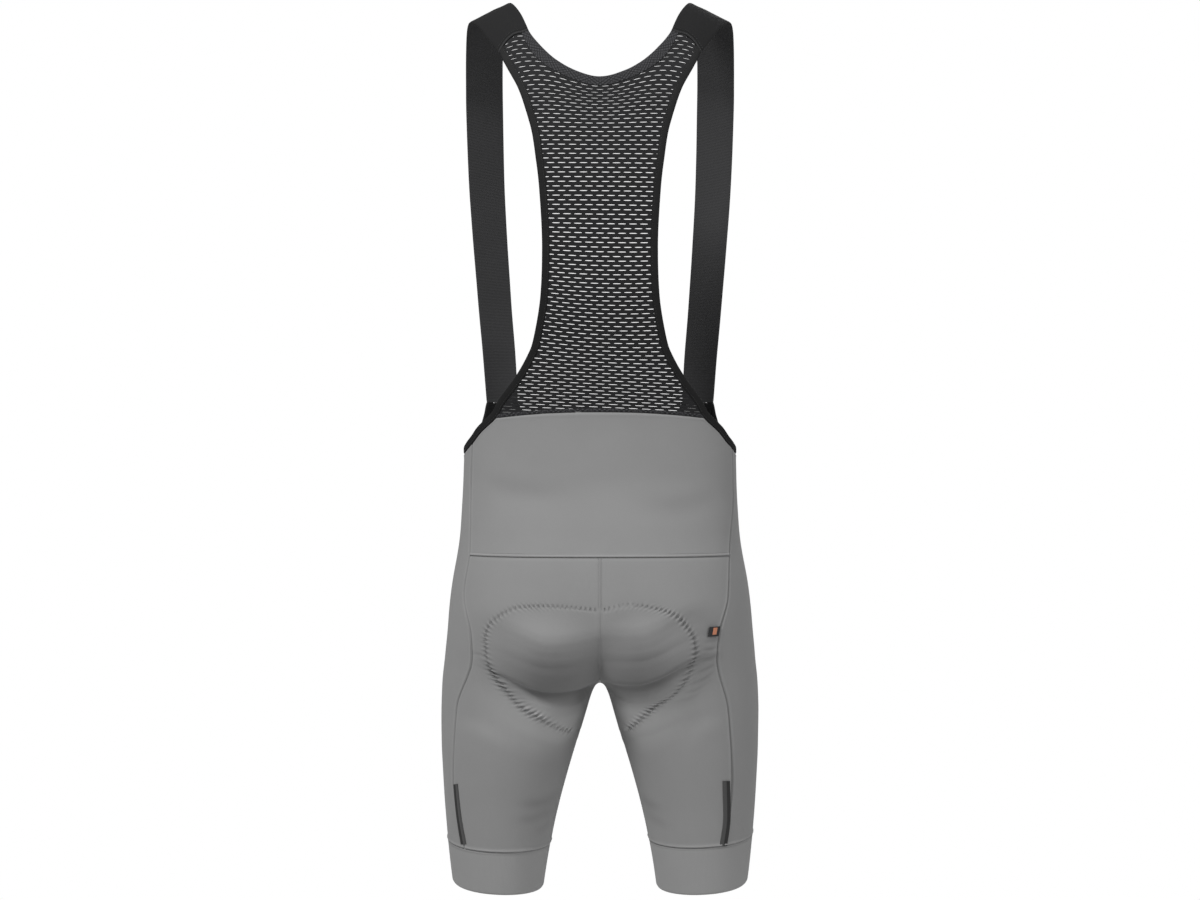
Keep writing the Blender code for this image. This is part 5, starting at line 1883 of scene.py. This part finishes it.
def pad_faces(quads, size):
    """The pad's outer faces, its inner ones size places on, and the walls round its edge."""
    ring = quads[:, [0, 1, 1, 2, 2, 3, 3, 0]].reshape(-1, 2)
    ring = ring[ring[:, 0] != ring[:, 1]]
    both = ring.min(axis=1) * size + ring.max(axis=1)
    kinds, counts = np.unique(both, return_counts=True)
    lone = counts[np.searchsorted(kinds, both)] == 1
    faces = [tuple(dict.fromkeys(face)) for face in quads.tolist()]
    faces = [face for face in faces if len(face) > 2]
    faces += [tuple(size + k for k in face[::-1]) for face in faces]
    return faces + [(b, a, a + size, b + size) for a, b in ring[lone]]


def make_pad():
    """The seat pad inside: a foam cushion with sunk channels, thin at its sewn edge."""
    points, full, uv, quads = pad_sheet()
    normals = outward(points)
    from_crotch = np.linalg.norm(points - np.array((0.0, 0.0, -crotch())), axis=1)
    close = np.clip(1 - from_crotch / PAD_CROTCH_REACH, 0, 1)
    behind = KNIT + PAD_GAP + (PAD_CROTCH_GAP - PAD_GAP) * close - fold_relief(points)
    depth = PAD_EDGE + (PAD_MIDDLE - PAD_EDGE) * full
    outer = points - normals * behind[:, None]
    inner = outer - normals * depth[:, None]
    mesh = bpy.data.meshes.new("seat_pad")
    vertices = [tuple(v) for v in np.concatenate((outer, inner)) * MM]
    mesh.from_pydata(vertices, [], pad_faces(quads, len(points)))
    work = bmesh.new()
    work.from_mesh(mesh)
    bmesh.ops.recalc_face_normals(work, faces=work.faces)
    layer = work.loops.layers.uv.new("cloth")
    both = np.tile(uv, (2, 1)) * MM
    for face in work.faces:
        for corner in face.loops:
            corner[layer].uv = both[corner.vert.index]
    work.to_mesh(mesh)
    work.free()
    mesh.shade_smooth()
    made = finish(link("pad_cushion", mesh), "pad_cover", "pad_foam", "seat_pad")
    return made


TAPE_ACROSS = np.array((-1.0, -0.9, -0.5, -0.06, 0.06, 0.5, 0.9, 1.0))


def make_tape(side, word):
    """The tapered two-tone tape that lies along the foot of one side seam."""
    t = np.linspace(0, 1, 50)
    top = TAPE_TOPS[word]
    drops = TAPE_FOOT + (top - TAPE_FOOT) * t
    half = (TAPE_FOOT_WIDTH + (TAPE_TOP_WIDTH - TAPE_FOOT_WIDTH) * t) / 2
    slant = -1.4 * np.clip((t - 0.94) / 0.06, 0, 1)[:, None] * (1 - TAPE_ACROSS) / 2
    down = drops[:, None] - slant
    out = section(TAPE_LINE, word, down)
    points = place(spot(out, down, "back", side))
    square = side * unit(np.cross(outward(points), np.gradient(points, axis=0)))
    points = onto_form(points - square * (half[:, None] * TAPE_ACROSS)[..., None])
    uv = pairs(half[:, None] * TAPE_ACROSS, -down)
    lift = 0.85 - 0.25 * (np.abs(TAPE_ACROSS) > 0.95) - 0.22 * (np.abs(TAPE_ACROSS) < 0.1)
    made = shell("side_tape_" + word, points, outward(points), lift + 0 * down, 0.75, uv)
    return finish(made, "side_tape", "dark_tape", "leg_tape_" + word)


def make_label():
    """The small folded label sewn into the right side seam."""
    outs = np.linspace(TAB_INNER, TAB_OUTER, 14)
    drops = np.linspace(TAB_FOOT, TAB_TOP, 12)
    grid = np.meshgrid(outs, drops)
    raised = (TAB_FOOT - grid[1]) / (TAB_FOOT - TAB_TOP) - 0.5
    points = place(spot(grid[0] + 1.8 * raised, grid[1] - 1.2, "back", -1))
    from_fold = grid[0] - TAB_INNER
    lift = 1.15 + 0.35 * hump(from_fold, 1.0, 1.2) - 0.5 * hump(from_fold, 0, 0.5)
    lift = lift - 0.25 * hump(TAB_OUTER - grid[0], 0, 1.5)
    uv = pairs(from_fold, TAB_FOOT - grid[1])
    made = shell("woven_tab", points, outward(points), lift, lift - 0.25, uv)
    return finish(made, "woven_label", "label_black", "label_tab")


# ---- where seams are sewn

def leg_line(side, share_of, highest):
    """An upright seam of a leg from a running row down to the elastic band, as points."""
    rows = np.linspace(highest, LEG_ROWS - 0.1, 220)
    return place(leg_spots(side, share_of, share_of, rows, np.zeros(1))[::-1, 0])


def seam_lines():
    """The upright seams of the grey knit on both sides, as points."""
    lines = []
    for side, _ in SIDES:
        ends = armhole(side)["side"]
        lines.append(leg_line(side, seam_share(side), 0.1))
        lines.append(leg_line(side, front_share, 0.1))
        lines.append(place(waist_edge(side, side_seam, ends[0]))[1:-1])
        lines.append(place(waist_edge(side, front_seam, ends[-1]))[1:-1])
        lines.append(leg_line(side, lambda drop: 0 * drop, CROTCH_ROW + 0.4))
    return lines


def centre_line(face, gap, count):
    """The centre seam of one face from its top down to a gap above the crotch, as points."""
    top = YOKE_SEAM if face == "back" else FRONT_NECK_SEAM[-1].drop
    drops = np.linspace(top + CENTRE_GAP, crotch() - gap, count)
    return on_face(0 * drops, drops, face)


def yoke_line(above, count):
    """A line above the yoke's foot, from one side seam to the other, as points."""
    left, right = yoke_corners()
    return place(pairs(np.linspace(left * 0.99, right * 0.99, count), YOKE_SEAM - above))


def make_allowances():
    """The trimmed edges of the seams, pressed flat inside, each with the panel it edges."""
    across = np.linspace(-ALLOWANCE, ALLOWANCE, 4)
    lines = [("front_panel_left", centre_line("front", 3, 110)),
             ("seat_panel_left", centre_line("back", 3, 90)), ("yoke_panel", yoke_line(0, 130))]
    edged = [f"{panel}_{word}" for _, word in SIDES
             for panel in 3 * ["side_panel"] + 2 * ["front_panel"]]
    lines += zip(edged, seam_lines())
    for side, word in SIDES:
        around = np.linspace(0.002, 0.998, 150)
        line = place(pairs(side * around, gripper_seam(side, around)))
        lines.append((f"leg_band_{word}", line))
    for number, (panel, line) in enumerate(lines):
        points = np.stack([aside(line, distance) for distance in across], axis=1)
        uv = pairs(lengths(line)[:, None], across)
        lift = fold_relief(points) - ALLOWANCE_DEPTH
        made = shell(f"allowance_{number + 1}", points, outward(points), lift, 0.5, uv)
        finish(made, "heather_knit", "grey_knit")
        made.parent = bpy.data.objects[panel]


def make_seam_stitches():
    """Twin rows of stitches along the seams of the grey knit."""
    lines = seam_lines() + [centre_line("front", 6, 150), centre_line("back", 6, 90)]
    rows = [on_cloth(aside(line, distance), THREAD_LIFT)
            for line in lines for distance in (-TWIN_GAP, TWIN_GAP)]
    for above, lift in ((1.6, 0.35), (3.4, THREAD_LIFT)):
        rows.append(on_cloth(yoke_line(above, 260), lift))
    sew_stitches("seam_stitches", rows, "grey_thread", "grey_knit")
    rows = []
    for side, _ in SIDES:
        around = np.linspace(0, 1, 300)
        for above, lift in ((2.0, 0.1), (-2.6, -0.02)):
            line = place(pairs(side * around, gripper_seam(side, around) - above))
            rows.append(on_cloth(line, lift))
    sew_stitches("band_stitches", rows, "grey_thread", "grey_gripper")


def make_edge_stitches():
    """Rows of stitches that hold the bindings, the hem and the straps."""
    rows = []
    for side, _ in SIDES:
        seam = armhole_seam(side)[3:-3]
        rows.append(on_cloth(aside(seam, EDGE_GAP, side), 0.6))
    for seam_rows, face in ((FRONT_NECK_SEAM, "front"), (BACK_NECK_SEAM, "back")):
        seam = place(neck_line(seam_rows, face, NECK_STEPS))[3:-3]
        rows.append(on_cloth(aside(seam, EDGE_GAP), 0.5))
    t = np.linspace(0.04, 0.96, 40)
    for side, _ in SIDES:
        points, normals = strap_grid(side, STRAP_STEPS, t)
        for reach in (2.0, 6.5):
            k = int(np.searchsorted(lengths(points[:, 20]), reach))
            rows.append((points[k] + normals[k] * 0.42, normals[k]))
    sew_stitches("edge_stitches", rows, "black_thread", "black_binding")


def make_pad_stitches(width, pitch):
    """The zigzag that sews the pad to the seat and the fronts."""
    lines = []
    for side, _ in SIDES:
        for face in ("back", "front"):
            line = on_face(*pad_outline(side, face).T, face)
            lines.append(on_cloth(line[::2], 0.35))
    sew(zigzag_pattern, "pad_zigzag", lines, "grey_thread", "grey_knit", Width=width, Pitch=pitch)


def make_strap_tacks():
    """Close zigzags that tack the straps' feet."""
    lines = []
    t = np.linspace(0.06, 0.94, 40)
    for side, _ in SIDES:
        shares = strap_seam(side, "front", t)[:, 0]
        lines += [on_cloth(place(pairs(shares, drop)), 0.45) for drop in STRAP_TACKS]
    sew(zigzag_pattern, "strap_tacks", lines, "black_thread", "black_elastic", Width=TACK_WIDTH,
        Pitch=TACK_PITCH)


# ---- what the panel shows

# How the panel shows a length and a share.
LENGTH = {"precision": 5, "unit": "LENGTH", "subtype": "DISTANCE"}
FACTOR = {"subtype": "FACTOR"}


def size_property(name, description, default, low, high, kind):
    """One size that the panel shows."""
    return bpy.props.FloatProperty(
        name=name, description=description, default=default, min=low, max=high, **kind)


class ShortsSizes(bpy.types.PropertyGroup):
    """Sizes of the cloth and the sewing."""

    binding_width: size_property(
        "Binding width", "Width of the folded armhole binding",
        BINDING_WIDTH * MM, 0.004, 0.012, LENGTH)
    eyelet_length: size_property(
        "Eyelet length", "Share of its cell that an eyelet takes across", 0.72, 0.2, 0.8, FACTOR)
    eyelet_height: size_property(
        "Eyelet height", "Share of its cell that an eyelet takes down", 0.17, 0.1, 0.8, FACTOR)
    creases: size_property(
        "Creases", "Depth of the creases, 1 as worn", 1.0, 0.0, 2.0, FACTOR)
    pucker: size_property(
        "Pucker", "Depth of the puckers along the pad's seam", 0.00085, 0.0, 0.002, LENGTH)
    stitch_pitch: size_property(
        "Stitch pitch", "Distance from one stitch to the next", 0.0030, 0.002, 0.01, LENGTH)
    stitch_length: size_property(
        "Stitch length", "Length of a stitch that shows", 0.0024, 0.001, 0.008, LENGTH)
    thread: size_property(
        "Thread", "Thickness of the sewing thread", 0.00042, 0.0002, 0.001, LENGTH)
    zigzag_width: size_property(
        "Zigzag width", "Width of the zigzag round the pad", 0.0070, 0.002, 0.012, LENGTH)
    zigzag_pitch: size_property(
        "Zigzag pitch", "Length of one full swing of the zigzag", 0.0048, 0.001, 0.01, LENGTH)


def colour_property(name, description, default):
    """One colour that the panel shows."""
    return bpy.props.FloatVectorProperty(
        name=name, description=description, default=default, size=3, min=0.0, max=1.0,
        subtype="COLOR")


class ShortsColours(bpy.types.PropertyGroup):
    """Colours of the cloth and the sewing."""

    knit: colour_property("Knit", "Grey knit of the panels", (0.262, 0.262, 0.262))
    band: colour_property("Leg bands", "Elastic bands at the hems", (0.29, 0.29, 0.29))
    mesh: colour_property("Mesh", "Open mesh of the back", (0.019, 0.019, 0.020))
    hem: colour_property("Mesh hem", "Turned hem of the mesh", (0.032, 0.032, 0.034))
    elastic: colour_property("Straps", "Woven elastic of the straps", (0.015, 0.015, 0.0155))
    binding: colour_property("Binding", "Folded binding", (0.011, 0.011, 0.0112))
    tape_dark: colour_property("Tape, dark", "Dark stripe of the side tapes", (0.011, 0.011, 0.011))
    tape_pale: colour_property("Tape, pale", "Paler stripe of the side tapes", (0.06, 0.06, 0.06))
    label: colour_property("Label", "Ground of the label", (0.012, 0.012, 0.013))
    label_bar: colour_property("Label bar", "Plain bar on the label", (0.62, 0.24, 0.13))
    pad: colour_property("Pad", "Cover of the seat pad", (0.05, 0.05, 0.052))
    grey_thread: colour_property("Grey thread", "Thread of the knit's seams", (0.25, 0.25, 0.25))
    black_thread: colour_property("Black thread", "Thread of the trimmings", (0.02, 0.02, 0.02))
    floor: colour_property("Floor", "Studio floor", (0.72, 0.72, 0.72))


class MakeMesh(bpy.types.Operator):
    """Makes the open mesh of the back, its folded foot and its turned hem"""

    bl_idname = "shorts.mesh"
    bl_label = "Back mesh"

    def execute(self, context):
        sizes = context.scene.shorts_sizes
        make_mesh(sizes.eyelet_length, sizes.eyelet_height)
        make_mesh_fold()
        make_neck_hem()
        return {"FINISHED"}


class MakePanels(bpy.types.Operator):
    """Makes the knit panels: the yoke, the seats with the pad showing through, sides and fronts"""

    bl_idname = "shorts.panels"
    bl_label = "Knit panels"

    def execute(self, context):
        sizes = context.scene.shorts_sizes
        pucker = sizes.pucker / MM
        make_yoke(sizes.creases)
        for side, word in SIDES:
            make_seat(side, word, pucker, sizes.creases)
        for side, word in SIDES:
            make_side(side, word, sizes.creases)
        for side, word in SIDES:
            make_front(side, word, pucker, sizes.creases)
        return {"FINISHED"}


class MakeBands(bpy.types.Operator):
    """Makes the elastic bands at the hems of the legs"""

    bl_idname = "shorts.bands"
    bl_label = "Leg bands"

    def execute(self, context):
        for side, word in SIDES:
            make_band(side, word)
        return {"FINISHED"}


class MakeStraps(bpy.types.Operator):
    """Makes the shoulder straps and their ends inside the front"""

    bl_idname = "shorts.straps"
    bl_label = "Straps"

    def execute(self, context):
        for side, word in SIDES:
            make_strap(side, word)
            make_strap_tail(side, word)
        return {"FINISHED"}


class MakeBindings(bpy.types.Operator):
    """Makes the bindings of the armholes and of the front neckline"""

    bl_idname = "shorts.bindings"
    bl_label = "Bindings"

    def execute(self, context):
        width = context.scene.shorts_sizes.binding_width / MM
        for side, word in SIDES:
            make_armhole_binding(side, word, width)
        make_front_binding()
        return {"FINISHED"}


class MakePad(bpy.types.Operator):
    """Makes the seat pad inside the shorts"""

    bl_idname = "shorts.pad"
    bl_label = "Seat pad"

    def execute(self, context):
        make_pad()
        return {"FINISHED"}


class MakeTrims(bpy.types.Operator):
    """Makes the side tapes and the label"""

    bl_idname = "shorts.trims"
    bl_label = "Tapes and label"

    def execute(self, context):
        for side, word in SIDES:
            make_tape(side, word).parent = bpy.data.objects["side_panel_" + word]
        make_label().parent = bpy.data.objects["side_panel_right"]
        return {"FINISHED"}


class SewSeams(bpy.types.Operator):
    """Sews the seams of the knit, the bindings and the straps"""

    bl_idname = "shorts.sew_seams"
    bl_label = "Seam stitches"

    def execute(self, context):
        make_allowances()
        make_seam_stitches()
        make_edge_stitches()
        return {"FINISHED"}


class SewPad(bpy.types.Operator):
    """Sews the pad's zigzag and the tacks of the straps"""

    bl_idname = "shorts.sew_pad"
    bl_label = "Pad zigzag and tacks"

    def execute(self, context):
        sizes = context.scene.shorts_sizes
        make_pad_stitches(sizes.zigzag_width, sizes.zigzag_pitch)
        make_strap_tacks()
        return {"FINISHED"}


# ---- the studio

def area_light(name, place_at, aim, size, power):
    """A soft square light that faces a point."""
    light = bpy.data.lights.new(name, "AREA")
    light.shape = "SQUARE"
    light.size = size
    light.energy = power
    made = bpy.data.objects.new(name, light)
    made.location = place_at
    towards = Vector(aim) - Vector(place_at)
    made.rotation_euler = towards.to_track_quat("-Z", "Y").to_euler()
    bpy.context.scene.collection.objects.link(made)


def make_floor(colour):
    """The pale floor, which fades out towards its edge."""
    mesh = bpy.data.meshes.new("floor")
    corners = [(x * FLOOR_HALF, y * FLOOR_HALF, FLOOR)
               for x, y in ((-1, -1), (1, -1), (1, 1), (-1, 1))]
    mesh.from_pydata(corners, [], [(0, 1, 2, 3)])
    paint = Paint("studio_floor", 0.9)
    grain = paint.noise(paint.solid(), 3.0)
    paint.tint(colour, 0.99 + grain * 0.02)
    out = paint.vector("LENGTH", {0: paint.solid()}, 1)
    paint.feed("Alpha", (FLOOR_REACH - out) / FLOOR_FADE)
    mesh.materials.append(paint.material)
    link("floor", mesh)


def make_sky():
    """A white world, which lights the shorts less than the camera sees of it."""
    world = bpy.data.worlds.new("studio")
    world.use_nodes = True
    air = Nodes(world.node_tree)
    strength = air.node("ShaderNodeLightPath") * (1.0 - SKY) + SKY
    backdrop = world.node_tree.nodes["Background"]
    backdrop.inputs["Color"].default_value = (1.0, 1.0, 1.0, 1.0)
    world.node_tree.links.new(strength.socket, backdrop.inputs["Strength"])
    return world


def make_camera():
    """The level camera behind the shorts."""
    camera = bpy.data.cameras.new("camera")
    camera.lens = CAMERA_LENS
    camera.sensor_width = 36.0
    made = bpy.data.objects.new("camera", camera)
    made.location = CAMERA
    made.rotation_euler = (np.radians(90), 0, np.radians(180))
    bpy.context.scene.collection.objects.link(made)
    return made


class SetStage(bpy.types.Operator):
    """Sets the pale floor, the soft lights and the camera"""

    bl_idname = "shorts.stage"
    bl_label = "Studio"

    def execute(self, context):
        scene = context.scene
        make_floor(scene.shorts_colours.floor)
        scene.world = make_sky()
        scene.view_settings.view_transform = "Standard"
        for light in LIGHTS:
            area_light(light.name, light.place, AIM, light.size, light.power)
        scene.camera = make_camera()
        return {"FINISHED"}


class ShortsPanel(bpy.types.Panel):
    """The shorts' sizes, colours and steps"""

    bl_idname = "VIEW3D_PT_shorts"
    bl_label = "Bib shorts"
    bl_space_type = "VIEW_3D"
    bl_region_type = "UI"
    bl_category = "Bib shorts"

    def draw(self, context):
        layout = self.layout
        for title, group in (("Sizes", context.scene.shorts_sizes),
                             ("Colours", context.scene.shorts_colours)):
            box = layout.box()
            box.label(text=title)
            for key in group.__annotations__:
                box.prop(group, key)
        box = layout.box()
        box.label(text="Pieces")
        for step in STEPS:
            box.operator(step.bl_idname)


STEPS = (MakeMesh, MakePanels, MakeBands, MakeStraps, MakeBindings, MakePad, MakeTrims,
         SewSeams, SewPad, SetStage)
CLASSES = (ShortsSizes, ShortsColours, *STEPS, ShortsPanel)


def register():
    """Adds the classes and the scene's properties."""
    for item in CLASSES:
        bpy.utils.register_class(item)
    bpy.types.Scene.shorts_sizes = bpy.props.PointerProperty(type=ShortsSizes)
    bpy.types.Scene.shorts_colours = bpy.props.PointerProperty(type=ShortsColours)


def unregister():
    """Takes them away again."""
    del bpy.types.Scene.shorts_colours
    del bpy.types.Scene.shorts_sizes
    for item in reversed(CLASSES):
        bpy.utils.unregister_class(item)


def main():
    """Dresses the frame step by step."""
    register()
    for step in STEPS:
        group, name = step.bl_idname.split(".")
        getattr(getattr(bpy.ops, group), name)()


if __name__ == "__main__":
    main()
